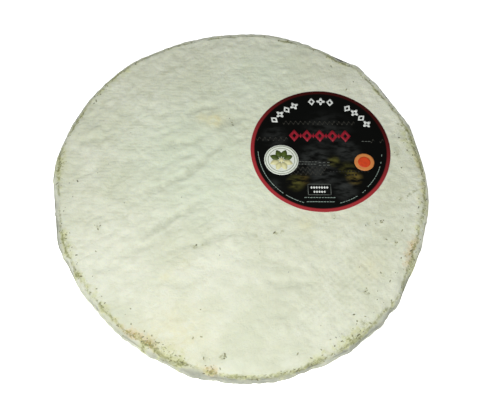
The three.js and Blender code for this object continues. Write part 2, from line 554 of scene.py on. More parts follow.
# Stained stretches of the edge: bearing, half-width, how olive, how golden, and how far in.
STAINS = [
    (2, 4, 0.45, 0.35, 4), (8, 3.5, 0.6, 0.5, 5), (15, 5, 0.6, 0.1, 9), (21, 4, 0.5, 0.0, 6),
    (30, 4, 0.6, 0.0, 2), (37.5, 2.5, 0.9, 0.0, 2.5), (44, 4, 0.5, 0.0, 2), (54, 4, 1.0, 0.0, 2.5),
    (59, 2, 0.6, 0.3, 4), (66, 3, 0.4, 0.0, 1.5), (74, 2, 0.8, 0.0, 2), (85, 4, 0.4, 0.0, 1.5),
    (98, 3, 0.4, 0.0, 2), (118, 12, 0.4, 0.0, 3), (135, 7, 0.65, 0.0, 6), (146, 5, 0.5, 0.0, 5),
    (156, 5, 0.95, 0.0, 2), (171, 5, 0.75, 0.0, 7), (174, 2, 0.3, 0.0, 2), (179, 5, 0.55, 0.0, 4),
    (190, 6, 0.2, 0.0, 1.5), (198.5, 3, 0.7, 0.0, 5), (204, 5, 0.6, 0.0, 8), (212, 2, 0.75, 0.25, 4),
    (218, 4, 0.6, 0.0, 6), (226, 3, 0.75, 0.0, 5), (232, 3, 0.5, 0.35, 3), (238, 3.5, 0.55, 0.95, 6),
    (244, 3, 0.6, 0.9, 6), (250, 5, 0.7, 0.2, 12), (254, 1.5, 0.75, 0.0, 4), (261, 4, 0.3, 0.2, 5),
    (262.5, 2, 0.3, 0.8, 6), (269, 4, 0.7, 0.0, 1.5), (276, 5, 0.5, 0.0, 1.5), (286, 6, 0.6, 0.0, 2),
    (293, 4, 0.5, 0.15, 8), (302, 4, 0.7, 0.1, 10), (308, 4, 0.5, 0.15, 8), (317, 5, 0.65, 0.0, 2),
    (326, 4, 0.55, 0.0, 1.5), (334, 3.5, 0.35, 0.7, 7), (339, 2.5, 0.38, 0.8, 6),
    (344, 2.5, 0.35, 0.1, 5), (349, 5, 0.42, 0.15, 5), (357, 5, 0.45, 0.25, 7),
]
OLIVE_PART = 2
GOLD_PART = 3
STAIN_FALL = 2.0

# Stretches where the side is grey, and where olive mould runs down it: bearing, half-width, share.
GREY_STRETCHES = [
    (20, 4, 0.6), (90, 50, 0.1), (152, 14, 0.4), (190, 6, 0.35), (199, 3, 0.5), (235, 4, 0.2),
    (248, 6, 0.35), (259, 5, 0.65), (270, 7, 0.55), (284, 9, 0.8), (303, 6, 0.6), (312, 5, 0.5),
    (322, 5, 0.4), (340, 2, 0.3), (353, 6, 0.3),
]
LEAST_GREY = 0.22
# The grey creeps onto the top: part of it fades out across the lip, the rest near the belly.
GREY_LIP_PART = 0.6
GREY_LIP_FADE = (0.6, -1.6)
GREY_BELLY_FADE = (1.2, 3.4)
RUN_STRETCHES = [
    (8, 6, 0.45), (16, 4, 0.6), (173, 6, 0.6), (204, 2.5, 0.35), (212, 1.5, 0.5), (228, 4, 0.25),
    (242, 1.3, 1.0), (247, 1.5, 0.4), (253, 1.5, 0.55), (283, 4, 0.3), (291, 2, 0.3), (333, 4, 0.8),
    (346, 5, 0.3), (354, 5, 0.4),
]
# The runs begin at the lip, and thin out to their least part lower down.
RUN_START = (0.5, -1.5)
RUN_THINNED = (-16, -7)
LEAST_RUN = 0.25

# Stretches where specks lie scattered behind the lip: bearing, half-width, strength.
SPECK_STRETCHES = [
    (15, 10, 0.14), (352, 9, 0.08), (56, 5, 0.08), (182, 18, 0.1), (205, 10, 0.05), (250, 12, 0.08),
    (316, 18, 0.1),
]
SPECK_REACH = 15

# Stretches where specks crowd on the lip itself, the same way.
# The same stretches darken the lip into a thick, nearly black line.
LIP_SPECK_STRETCHES = [
    (27, 5, 0.35), (36.5, 3, 0.6), (44, 2, 0.3), (54.5, 4, 0.8), (64.5, 1.5, 0.4), (73.5, 2.5, 0.8),
    (93, 4, 0.25), (115, 6, 0.2), (135, 6, 0.3), (157, 4, 0.5), (270, 4, 0.25), (284, 4, 0.3),
    (303, 5, 0.2), (313, 4, 0.3), (321, 5, 0.15),
]
SPECK_BAND = 1.3

# Broad parts of the top where the bloom has a green cast.
SAGE_SPOTS = [(-55, 40, 62, 1.0), (-30, -5, 40, 0.5), (20, 122, 42, 0.9), (25, 5, 24, 0.5)]

# Patches rubbed yellow, and places where dark specks gather: x, y, radius and strength.
HONEY_SPOTS = [
    (-25, 71, 8, 1.0), (-40, 74, 6, 0.4), (118, -84, 12, 0.35), (-65, -94, 7, 0.35),
    (-51, -81, 7, 0.25), (60, -42, 7, 0.4), (-55, -150, 30, 0.45),
]
SPECK_SPOTS = [
    (-41, -65, 2.0, 0.9), (-34, -63, 1.4, 0.6), (14, -54, 2.2, 0.6), (20, -51, 1.8, 0.5),
    (33, -51, 2.2, 0.8), (39, -50, 2.2, 0.7), (79, -39, 2.0, 0.7), (87, -35, 2.2, 0.8),
    (119, -41, 2.6, 0.5), (131, -38, 2.2, 0.9), (134, -55, 2.0, 0.5), (142, -60, 2.4, 0.7),
    (149, -39, 2.6, 0.5), (151, 34, 2.8, 0.8), (152, 42, 2.0, 0.5), (155, 18, 2.4, 0.5),
    (142, 5, 3.0, 0.4), (150, -15, 2.4, 1.0), (157, -13, 1.8, 1.0), (160, -10, 1.4, 0.9),
    (164, -7, 1.6, 1.0), (167, -5, 1.4, 0.9), (113, -108, 2.8, 0.9), (128, -91, 2.2, 0.6),
    (108, -135, 3.0, 0.5), (106, 108, 2.2, 0.4), (-13, -166, 2.0, 1.3), (-30, -168, 4.0, 0.4),
    (-15, -167, 3.0, 0.7), (-19, 66, 3.0, 0.3), (-8, 70, 3.0, 0.3), (-131, -45, 2.4, 0.6),
    (-154, 10, 2.0, 0.3), (-31, -126, 2.2, 0.4), (-40, -150, 3.0, 0.3),
]


def belly_radii(bearings):
    """The frame wheel's half-width at each bearing, in millimetres."""
    radii = []
    for bearing in bearings:
        out = Vector((math.cos(bearing), math.sin(bearing), 0))
        start = out * (2 * WHEEL_RADIUS * MM) + Vector((0, 0, BELLY_HEIGHT * MM))
        radii.append(WHEEL_TREE.ray_cast(start, -out)[0].xy.length / MM)
    return np.array(radii)


def ring(bearings, radii):
    """Points on a closed outline about the origin."""
    return np.column_stack([radii * np.cos(bearings), radii * np.sin(bearings)])


def filled(bearings, radii, insets, step_x, step_y):
    """Points and triangles that fill an outline: rings along its edge, then staggered rows."""
    rings = [ring(bearings, radii - inset) for inset in insets]
    reach = radii.max()
    rows = []
    for number, y in enumerate(np.arange(-reach, reach, step_y)):
        x = np.arange(-reach, reach, step_x) + (number % 2) * step_x / 2
        rows.append(np.column_stack([x, np.full(len(x), y)]))
    rows = np.vstack(rows)
    edge = np.interp(np.arctan2(rows[:, 1], rows[:, 0]), bearings, radii, period=FULL_TURN)
    inside = np.hypot(rows[:, 0], rows[:, 1]) < edge - insets[-1] - step_x / 2
    points = np.vstack([*rings, rows[inside]])
    outline = [list(range(len(bearings)))]
    corners = [Vector(point) for point in points]
    made = geometry.delaunay_2d_cdt(corners, [], outline, KEEP_INSIDE, SAME_POINT, False)
    return points, np.array(made[2])


def crease_relief(x, y):
    """Height that the creases add to the top at each point, and how deep in a crease it lies."""
    x = x + CREASE_WOBBLE * waves(x, y, seed=21, size=CREASE_WOBBLE_SIZE)
    y = y + CREASE_WOBBLE * waves(x, y, seed=22, size=CREASE_WOBBLE_SIZE)
    relief = np.zeros(len(x))
    depth_seen = np.zeros(len(x))
    margin = SHOULDER_OFFSET + 3 * SHOULDER_WIDTH
    for depth, shoulder, points in CREASES:
        path = smooth_path(points, PATH_STEPS)
        low = path.min(0) - margin
        high = path.max(0) + margin
        near = np.flatnonzero((x > low[0]) & (x < high[0]) & (y > low[1]) & (y < high[1]))
        gap, along = distance_to_path(x[near], y[near], path)
        taper = np.sin(np.pi * np.clip(along, 0, 1)) ** CREASE_TAPER
        valley = taper * np.exp(-((gap / VALLEY_WIDTH) ** 2))
        rise = taper * np.exp(-(((gap - SHOULDER_OFFSET) / SHOULDER_WIDTH) ** 2))
        relief[near] += shoulder * rise - CREASE_DEEPENING * depth * valley
        depth_seen[near] = np.maximum(depth_seen[near], depth * valley)
    return relief, depth_seen


def distance_to_path(x, y, path):
    """Distance from a path, positive on its left, and how far along it the nearest point lies."""
    best = np.full(len(x), np.inf)
    side = np.ones(len(x))
    along = np.zeros(len(x))
    spans = len(path) - 1
    for number in range(spans):
        start = path[number]
        step = path[number + 1] - start
        away_x = x - start[0]
        away_y = y - start[1]
        t = np.clip((away_x * step[0] + away_y * step[1]) / (step @ step), 0, 1)
        gap = np.hypot(away_x - t * step[0], away_y - t * step[1])
        nearer = gap < best
        best = np.where(nearer, gap, best)
        side = np.where(nearer, np.sign(step[0] * away_y - step[1] * away_x), side)
        along = np.where(nearer, (number + t) / spans, along)
    return best * side, along


def profile_height(inset, run):
    """Share of the rise from the belly that a full round shoulder has reached, so far in from it."""
    across = 1 - np.clip(inset / run, 0, 1)
    return (1 - across**PROFILE_FULLNESS) ** (1 / PROFILE_FULLNESS)


def top_face(bearings, broad, belly, edge_radii, sizes):
    """The top's points, triangles and attributes: all that lies inside the edge ring."""
    flat, faces = filled(bearings, edge_radii, TOP_RINGS, TOP_STEP_X, TOP_STEP_Y)
    x, y = flat.T
    angle = np.arctan2(y, x)
    inset = np.interp(angle, bearings, belly, period=FULL_TURN) - np.hypot(x, y)
    level = probe(WHEEL_TREE, (0, 0), WHEEL_RADIUS - LEVEL_MARGIN, LEVEL_STEP, LEVEL_REACH).at(x, y)
    body = BELLY_HEIGHT + (level - BELLY_HEIGHT) * profile_height(inset, sizes.shoulder_inset / MM)
    lip_gap = np.interp(angle, bearings, broad, period=FULL_TURN) - np.hypot(x, y) - lip_inset(angle)
    lip = LIP_STEP * np.exp(-(((lip_gap - LIP_WIDTH) / LIP_WIDTH) ** 2))
    groove = sizes.lip_depth / MM * np.exp(-((lip_gap / LIP_GROOVE_WIDTH) ** 2))
    from_label = np.hypot(x - LABEL_X, y - LABEL_Y) - LABEL_RADIUS
    bare = smoothstep(-LABEL_BLEND, LABEL_BLEND, from_label)
    inner = smoothstep(*CALM_RIM, inset)
    relief, depth = crease_relief(x, y)
    height = body + lip - groove + relief * bare * inner
    over_lip = GREY_LIP_PART * smoothstep(*GREY_LIP_FADE, lip_gap)
    over_edge = over_lip + (1 - GREY_LIP_PART) * (1 - smoothstep(*GREY_BELLY_FADE, inset))
    attributes = {
        "lip_gap": lip_gap,
        # How much of the grey flank tone, with its painted shade, each point takes.
        "flank": grey_share(angle, over_edge),
        # How deep in a crease each point lies, which the material darkens as painted shade.
        "creased": depth * bare,
        **relief_marks(x, y, inset, bare, inner),
        **mould_marks(x, y, angle, lip_gap, bare),
    }
    return np.column_stack([x, y, height]), faces, attributes


def relief_marks(x, y, inset, bare, inner):
    """How strongly each kind of relief shows on the top, at a point so far in from the belly.
    Under the label bare is 0, and near the rim inner is 0."""
    smooth = np.clip(spots(x, y, SMOOTH_SPOTS), 0, 1)
    woven = np.clip(spots(x, y, WEAVE_SPOTS), 0, 1)
    ribbed = np.clip(0.5 + spots(x, y, RIB_SPOTS) - 0.6 * smooth, 0.1, 1.2)
    mottled = np.clip(0.75 + spots(x, y, MOTTLE_SPOTS) - 0.5 * smooth, 0.2, 1.3)
    return {
        "ribbed": ribbed * (1 - 0.7 * woven) * bare * inner,
        "woven": woven * bare * inner,
        "lumpy": at_least(0.35, bare) * at_least(0.4, inner) * (1 - 0.3 * smooth),
        "folded": np.clip(spots(x, y, FOLD_SPOTS), 0, 1) * bare * inner,
        "dimpled": at_least(0.12, bare) * at_least(0.3, inner) * (1 - 0.4 * smooth),
        "grainy": at_least(0.1, bare) * (1.5 - 0.8 * smoothstep(*GRAINY_RIM, inset)),
        "mottled": mottled * at_least(0.3, bare),
    }


def mould_marks(x, y, angle, lip_gap, bare):
    """How strongly each mould and tint marks the top. Under the label bare is 0."""
    specks = spots(x, y, SPECK_SPOTS) + edge_specks(angle, lip_gap)
    return {
        "sage": np.clip(spots(x, y, SAGE_SPOTS), 0, 1),
        "honeyed": np.clip(spots(x, y, HONEY_SPOTS), 0, 1) * bare,
        "stained": stain_strength(angle, lip_gap, OLIVE_PART) * bare,
        "gilded": stain_strength(angle, lip_gap, GOLD_PART) * bare,
        "speckled": np.clip(specks, 0, 1) * bare,
        "blackened": bumps(angle, LIP_SPECK_STRETCHES) * near_lip(lip_gap),
    }


def lip_inset(angle):
    """How far inside the belly the dark lip runs, raggedly, at each bearing."""
    bearings = bearings_round(EDGE_POINTS)
    ragged = ripple(bearings, seed=11, fewest=30, most=170)
    ragged = np.interp(angle, bearings, ragged, period=FULL_TURN)
    return LIP_INSET + bumps(angle, LIP_INSET_HUMPS) + LIP_RAGGEDNESS * ragged


def stain_strength(angle, lip_gap, part):
    """How strongly the edge's moulds stain a point that lies so far inside the lip: the olive
    part or the golden part of each stain."""
    total = np.zeros(len(angle))
    for stain in STAINS:
        middle, half_width, reach = stain[0], stain[1], stain[-1]
        inward = np.exp(-((np.maximum(lip_gap, 0) / reach) ** 2))
        total += bumps(angle, [(middle, half_width, stain[part])]) * inward
    total *= np.exp(-((np.minimum(lip_gap, 0) / STAIN_FALL) ** 2))
    if part == OLIVE_PART:
        lower_down = at_least(LEAST_RUN, smoothstep(*RUN_THINNED, lip_gap))
        running = smoothstep(*RUN_START, lip_gap) * lower_down
        total += bumps(angle, RUN_STRETCHES) * running
    return np.clip(total, 0, 1)


def grey_share(angle, outside):
    """How grey the side is at each bearing, where outside says how far past the lip a point is."""
    return outside * np.clip(LEAST_GREY + bumps(angle, GREY_STRETCHES), 0, 1)


def near_lip(lip_gap):
    """One on the lip, fading to nothing on both sides of it."""
    return np.exp(-((lip_gap / SPECK_BAND) ** 2))


def edge_specks(angle, lip_gap):
    """How thickly dark specks are sown along the lip, and thinly behind some stretches of it."""
    olive = stain_strength(angle, lip_gap, OLIVE_PART)
    gold = stain_strength(angle, lip_gap, GOLD_PART)
    crowded = 0.04 + 0.4 * olive + bumps(angle, LIP_SPECK_STRETCHES)
    scattered = bumps(angle, SPECK_STRETCHES) * np.exp(-((lip_gap / SPECK_REACH) ** 2))
    return 0.3 * olive + 0.25 * gold + crowded * near_lip(lip_gap) + scattered * (lip_gap > 0)


def side_rows(bearings, belly, edge_insets, edge_heights, sizes):
    """The side, from just below the edge ring to the foot, row by row."""
    rows = []
    for step in range(1, UPPER_ROWS + 1):
        up = 1 - step / UPPER_ROWS
        height = BELLY_HEIGHT + (edge_heights - BELLY_HEIGHT) * up
        rows.append((belly - edge_insets * up**PROFILE_FULLNESS, height))
    foot = sizes.foot_inset / MM
    for step in range(1, LOWER_ROWS + 1):
        turn = step / LOWER_ROWS * math.pi / 2
        across = max(0.0, math.cos(turn)) ** (2 / PROFILE_FULLNESS)
        down = math.sin(turn) ** (2 / PROFILE_FULLNESS)
        rows.append((belly - foot * (1 - across), np.full(len(belly), BELLY_HEIGHT * (1 - down))))
    return [np.column_stack([ring(bearings, radii), height]) for radii, height in rows]


def side_marks(side, lip_gap):
    """The attributes below the edge ring: their values on the side, and their one value on the base."""
    angle = np.arctan2(side[:, 1], side[:, 0])
    risen = smoothstep(*CALM_FOOT, side[:, 2])
    stained = stain_strength(angle, lip_gap, OLIVE_PART) + FOOT_STAIN * (1 - risen)
    return {
        "lip_gap": (lip_gap, BASE_LIP_GAP),
        "flank": (grey_share(angle, 1), 0.5),
        "mottled": (np.ones(len(side)), 1),
        "ribbed": (np.zeros(len(side)), 0.7),
        "lumpy": (0.4 * risen, 0),
        "dimpled": (0.6 * risen, 0),
        "grainy": (1.5 * risen, 0),
        "stained": (stained, 0.1),
        "gilded": (stain_strength(angle, lip_gap, GOLD_PART), 0),
        "speckled": (0.02 * (side[:, 2] > SPECK_FOOT), 0),
        "blackened": (bumps(angle, LIP_SPECK_STRETCHES) * near_lip(lip_gap), 0),
    }


def wheel_mesh(sizes):
    """The closed wheel, before the marks of the mats are pressed into it."""
    bearings = bearings_round(EDGE_POINTS)
    broad = belly_radii(bearings) + bumps(bearings, OUTLINE_HUMPS)
    fine = OUTLINE_RIPPLE * ripple(bearings, seed=3, fewest=24, most=120)
    belly = broad + bumps(bearings, OUTLINE_DENTS) + fine
    edge_insets = np.full(EDGE_POINTS, sizes.edge_inset / MM)
    top, top_faces, attributes = top_face(bearings, broad, belly, belly - edge_insets, sizes)
    edge_heights = top[:EDGE_POINTS, 2]
    rows = side_rows(bearings, belly, edge_insets, edge_heights, sizes)
    foot_radii = np.hypot(rows[-1][:, 0], rows[-1][:, 1])
    base, base_faces = filled(bearings, foot_radii, BASE_RINGS, BASE_STEP, BASE_STEP)
    base = np.column_stack([base, np.zeros(len(base))])[EDGE_POINTS:]

    loops = [np.arange(EDGE_POINTS)]
    loops += [len(top) + EDGE_POINTS * n + np.arange(EDGE_POINTS) for n in range(len(rows))]
    faces = top_faces.tolist()
    for upper, lower in zip(loops, loops[1:]):
        faces += np.column_stack([upper, lower, np.roll(lower, -1), np.roll(upper, -1)]).tolist()
    faces += (base_faces + loops[-1][0])[:, ::-1].tolist()

    side = np.vstack(rows)
    drop = np.tile(edge_heights, len(rows)) - side[:, 2]
    below = side_marks(side, np.tile(attributes["lip_gap"][:EDGE_POINTS], len(rows)) - drop)
    for title, values in attributes.items():
        on_side, on_base = below.get(title, (np.zeros(len(side)), 0))
        attributes[title] = np.concatenate([values, on_side, np.full(len(base), on_base)])
    return mesh_of("wheel_rind", np.vstack([top, side, base]), faces, attributes)


# The relief tree takes as inputs all of the rind's sizes but those of the wheel's profile.
PROFILE_SIZES = ("shoulder_inset", "edge_inset", "foot_inset", "lip_depth")
RELIEF_SIZES = [name for name in RindSizes.__annotations__ if name not in PROFILE_SIZES]
RIB_WANDER = 2.2 * MM
RIB_SLOPE = 0.04
RIB_PATCH_SIZE = 14 * MM
WANDER_SIZE = 40 * MM
FOLD_BEARING = math.radians(38)
FOLD_STRETCH = 0.3
WRINKLE_WIDTH = 0.05
WEAVE_TURN = math.radians(4)
# Noises that raise the rind: width, height, the attribute that says how strongly, and detail.
RAISED = [
    ("lump_size", "lump_height", "lumpy", 1.5),
    ("fold_width", "fold_height", "folded", 1.0),
    ("dimple_size", "dimple_height", "dimpled", 1.0),
    ("nub_size", "nub_height", "dimpled", 1.0),
    ("grain_size", "grain_height", "grainy", 2.0),
]


def relief_tree():
    """A geometry tree that presses the mats' ribs and weave into the rind, and raises its lumps,
    folds and grain, each as strongly as its attribute says."""
    inputs = {name: "Float" for name in RELIEF_SIZES}
    tree, given = new_tree("rind_relief", {**inputs, "material": "Material"})
    position = add(tree, "GeometryNodeInputPosition")
    inputs = {"Vector": position, "Scale": 1 / WANDER_SIZE, "Detail": 1.0}
    wander = add(tree, "ShaderNodeTexNoise", inputs)
    wander = add(tree, "ShaderNodeMath", {0: wander, 1: RIB_WANDER}, operation="MULTIPLY")
    rib = rib_height(tree, given, position, wander)
    weave = weave_height(tree, given, position, wander)
    mat_marks = add(tree, "ShaderNodeMath", {0: rib, 1: weave}, operation="ADD")

    inputs = {"Vector": position, "Angle": -FOLD_BEARING}
    along = add(tree, "ShaderNodeVectorRotate", inputs, rotation_type="Z_AXIS")
    along = add(tree, "ShaderNodeVectorMath", {0: along, 1: (FOLD_STRETCH, 1, 1)}, operation="MULTIPLY")
    total = mat_marks
    for width, height, strength, detail in RAISED:
        scale = add(tree, "ShaderNodeMath", {0: 1.0, 1: given[width]}, operation="DIVIDE")
        source = along if strength == "folded" else position
        noise = add(tree, "ShaderNodeTexNoise", {"Vector": source, "Scale": scale, "Detail": detail})
        noise = add(tree, "ShaderNodeMath", {0: noise, 1: 2.0, 2: -1.0}, operation="MULTIPLY_ADD")
        noise = add(tree, "ShaderNodeMath", {0: noise, 1: given[height]}, operation="MULTIPLY")
        weight = add(tree, "GeometryNodeInputNamedAttribute", {"Name": strength})
        total = add(tree, "ShaderNodeMath", {0: noise, 1: weight, 2: total}, operation="MULTIPLY_ADD")
    wrinkle = wrinkle_height(tree, given, position, along)
    total = add(tree, "ShaderNodeMath", {0: wrinkle, 1: total}, operation="ADD")

    normal = add(tree, "GeometryNodeInputNormal")
    offset = add(tree, "ShaderNodeVectorMath", {0: normal, "Scale": total.outputs[0]}, operation="SCALE")
    # The depth of the mats' marks, which the material darkens as painted shade.
    pressed = add(tree, "ShaderNodeMath", {0: mat_marks, 1: -1 / MM}, operation="MULTIPLY")
    inputs = {0: given["Geometry"], "Name": "pressed", "Value": pressed}
    stored = add(tree, "GeometryNodeStoreNamedAttribute", inputs)
    moved = add(tree, "GeometryNodeSetPosition", {0: stored, "Offset": offset})
    return ended(tree, moved, given["material"])


def pressed_wave(tree, places, wander, pitch):
    """Waves of this pitch along each of the places, which wander, multiplied together."""
    product = 1.0
    for place in places:
        phase = add(tree, "ShaderNodeMath", {0: place, 1: wander}, operation="ADD")
        phase = add(tree, "ShaderNodeMath", {0: phase, 1: pitch}, operation="DIVIDE")
        phase = add(tree, "ShaderNodeMath", {0: phase, 1: FULL_TURN}, operation="MULTIPLY")
        wave = add(tree, "ShaderNodeMath", {0: phase}, operation="COSINE")
        product = add(tree, "ShaderNodeMath", {0: wave, 1: product}, operation="MULTIPLY")
    return add(tree, "ShaderNodeMath", {0: product, 1: 0.5, 2: -0.5}, operation="MULTIPLY_ADD")


def rib_height(tree, given, position, wander):
    """Ribs that run across the wheel, nearly along X, wander a little and fade out in patches."""
    place = add(tree, "ShaderNodeSeparateXYZ", {0: position}).outputs
    rise = add(tree, "ShaderNodeMath", {0: place[0], 1: RIB_SLOPE, 2: place[1]}, operation="MULTIPLY_ADD")
    rib = pressed_wave(tree, [rise], wander, given["rib_pitch"])
    inputs = {"Vector": position, "Scale": 1 / RIB_PATCH_SIZE, "Detail": 2.0}
    patchy = add(tree, "ShaderNodeTexNoise", inputs)
    patchy = add(tree, "ShaderNodeMapRange", {"Value": patchy, "From Min": 0.3, "From Max": 0.62})
    ribbed = add(tree, "GeometryNodeInputNamedAttribute", {"Name": "ribbed"})
    for factor in (patchy, given["rib_depth"], ribbed):
        rib = add(tree, "ShaderNodeMath", {0: rib, 1: factor}, operation="MULTIPLY")
    return rib


def weave_height(tree, given, position, wander):
    """A square weave, from waves at right angles."""
    inputs = {"Vector": position, "Angle": WEAVE_TURN}
    turned = add(tree, "ShaderNodeVectorRotate", inputs, rotation_type="Z_AXIS")
    place = add(tree, "ShaderNodeSeparateXYZ", {0: turned}).outputs
    weave = pressed_wave(tree, place[:2], wander, given["weave_pitch"])
    woven = add(tree, "GeometryNodeInputNamedAttribute", {"Name": "woven"})
    for factor in (given["weave_depth"], woven):
        weave = add(tree, "ShaderNodeMath", {0: weave, 1: factor}, operation="MULTIPLY")
    return weave


def wrinkle_height(tree, given, position, along):
    """Wrinkles: the lines where a slanting noise crosses its middle value, broken up by another."""
    scale = add(tree, "ShaderNodeMath", {0: 1.0, 1: given["wrinkle_size"]}, operation="DIVIDE")
    line = add(tree, "ShaderNodeTexNoise", {"Vector": along, "Scale": scale, "Detail": 1.5})
    line = add(tree, "ShaderNodeMath", {0: line, 1: -0.5}, operation="ADD")
    line = add(tree, "ShaderNodeMath", {0: line}, operation="ABSOLUTE")
    inputs = {"Value": line, "From Min": WRINKLE_WIDTH, "From Max": 0.0}
    line = add(tree, "ShaderNodeMapRange", inputs, interpolation_type="SMOOTHSTEP")
    broken = add(tree, "ShaderNodeTexNoise", {"Vector": position, "Scale": scale, "Detail": 0.0})
    broken = add(tree, "ShaderNodeMapRange", {"Value": broken, "From Min": 0.45, "From Max": 0.65})
    dimpled = add(tree, "GeometryNodeInputNamedAttribute", {"Name": "dimpled"})
    for factor in (broken, dimpled, given["wrinkle_depth"], -1.0):
        line = add(tree, "ShaderNodeMath", {0: line, 1: factor}, operation="MULTIPLY")
    return line


# ---------------------------------------------------------------- the rind's finish


# Moulds along the edge, from the widest stain to the specks in it: colour, the attribute that
# places it, size of its blots, how far they spread, where they begin and are full, and strength.
EDGE_MOULDS = [
    ("cream", "gilded", 5.0, 1.6, 0.1, 0.8, 0.85),
    ("pistachio", "stained", 5.0, 2.0, 0.1, 0.9, 0.8),
    ("gold", "gilded", 2.6, 3.0, 0.7, 1.2, 0.85),
    ("olive", "stained", 2.2, 3.2, 0.75, 1.2, 0.8),
    ("umber", "gilded", 1.7, 3.4, 1.1, 1.45, 0.8),
    ("umber", "stained", 1.5, 3.4, 1.15, 1.5, 0.75),
]
# The line of old mould on the lip fades out this far from it, and is full this near to it.
LIP_LINE_WIDTH = 1.8
LIP_LINE_HEART = 0.2
# Side of the cells in which lone specks may lie.
LONE_SPECK_CELL = 9
# The felt itself is a fuzz finer than 0.1 mm; it is drawn coarser so that it shows.
FUZZ_SIZE = 0.8
PORE_SIZE = 1.7


def rind_material(colours):
    """Bloomy rind: a dry felt of white mould over pressed curd, dusted and never polished. The
    felt is matt and softly uneven, darker with painted shade in the hollows, and stained where it wore off."""
    material, tree, own = new_material("bloomy_rind")
    tones = {name: (*getattr(colours, name), 1) for name in RindColours.__annotations__}
    tone = bloom_tone(tree, own, tones)
    tone = edge_tone(tree, own, tones, tone)

    fuzz = {"Vector": own, "Scale": 1 / (FUZZ_SIZE * MM), "Detail": 3.0, "Roughness": 0.7}
    fuzz = add(tree, "ShaderNodeTexNoise", fuzz)
    pores = {"Vector": own, "Scale": 1 / (PORE_SIZE * MM), "Detail": 2.0, "Roughness": 0.6}
    pores = add(tree, "ShaderNodeTexNoise", pores)
    height = add(tree, "ShaderNodeMath", {0: pores, 1: 1.8, 2: fuzz}, operation="MULTIPLY_ADD")
    bump = add(tree, "ShaderNodeBump", {"Strength": 0.6, "Distance": 0.5 * MM, "Height": height})
    rough = add(tree, "ShaderNodeMapRange", {"Value": pores, "To Min": 0.82, "To Max": 0.98})
    inputs = {
        "Base Color": tone,
        "Roughness": rough,
        "Normal": bump,
        "IOR": 1.4,
        "Specular IOR Level": 0.25,
        "Subsurface Weight": 0.12,
        "Subsurface Radius": (1.0, 0.8, 0.5),
        "Subsurface Scale": 1.5 * MM,
        "Sheen Weight": 0.1,
        "Sheen Roughness": 0.6,
    }
    return surfaced(material, inputs)


def bloom_tone(tree, own, tones):
    """The colour of the bloom, thick and thin, with its green casts, painted shade in its hollows, and the
    grey flank, darkened with painted shade.
    """
    # Clouds of thicker and thinner bloom, 45 mm across, and mottling 14 mm and 6 mm across.
    clouds = patches(tree, own, 45, 0.35, 0.68, detail=3.0)
    tone = tinted(tree, tones["bloom"], tones["thin_bloom"], clouds)
    mottled = add(tree, "ShaderNodeAttribute", attribute_name="mottled").outputs["Fac"]
    mottles = patches(tree, own, 14, 0.48, 0.72, detail=3.0, roughness=0.65)
    tone = tinted(tree, tone, tones["hollow"], mottles, mottled, 0.35)
    mottles = patches(tree, own, 6, 0.5, 0.72)
    tone = tinted(tree, tone, tones["hollow"], mottles, mottled, 0.28)
    sage = add(tree, "ShaderNodeAttribute", attribute_name="sage").outputs["Fac"]
    tone = tinted(tree, tone, tones["sage"], sage, 0.55)

    # Painted shade in the hollows: the mats' marks, up to 0.5 mm deep, and the creases, up to 1.6 mm, are
    # darkened by their depth.
    tone = tinted(tree, tone, tones["hollow"], marked(tree, "pressed", 0.05, 0.4), 0.45)
    soft = patches(tree, own, 7, 0.05, 0.6, roughness=0.5)
    tone = tinted(tree, tone, tones["crease"], marked(tree, "creased", 0.05, 1.2), soft, 0.55)
    honeyed = add(tree, "ShaderNodeAttribute", attribute_name="honeyed").outputs["Fac"]
    rubbed = patches(tree, own, 6, 0.15, 0.65, roughness=0.5)
    tone = tinted(tree, tone, tones["honey"], honeyed, rubbed, 0.8)

    # The flank is grey-green, with the bloom left on it in patches; its tone is darker still as painted
    # shade on the side wall.
    bald = patches(tree, own, 9, 0.28, 0.6, detail=3.0)
    bald = add(tree, "ShaderNodeMath", {0: bald, 1: 0.4, 2: 0.6}, operation="MULTIPLY_ADD")
    return tinted(tree, tone, tones["flank"], marked(tree, "flank", 0.0, 0.85), bald)


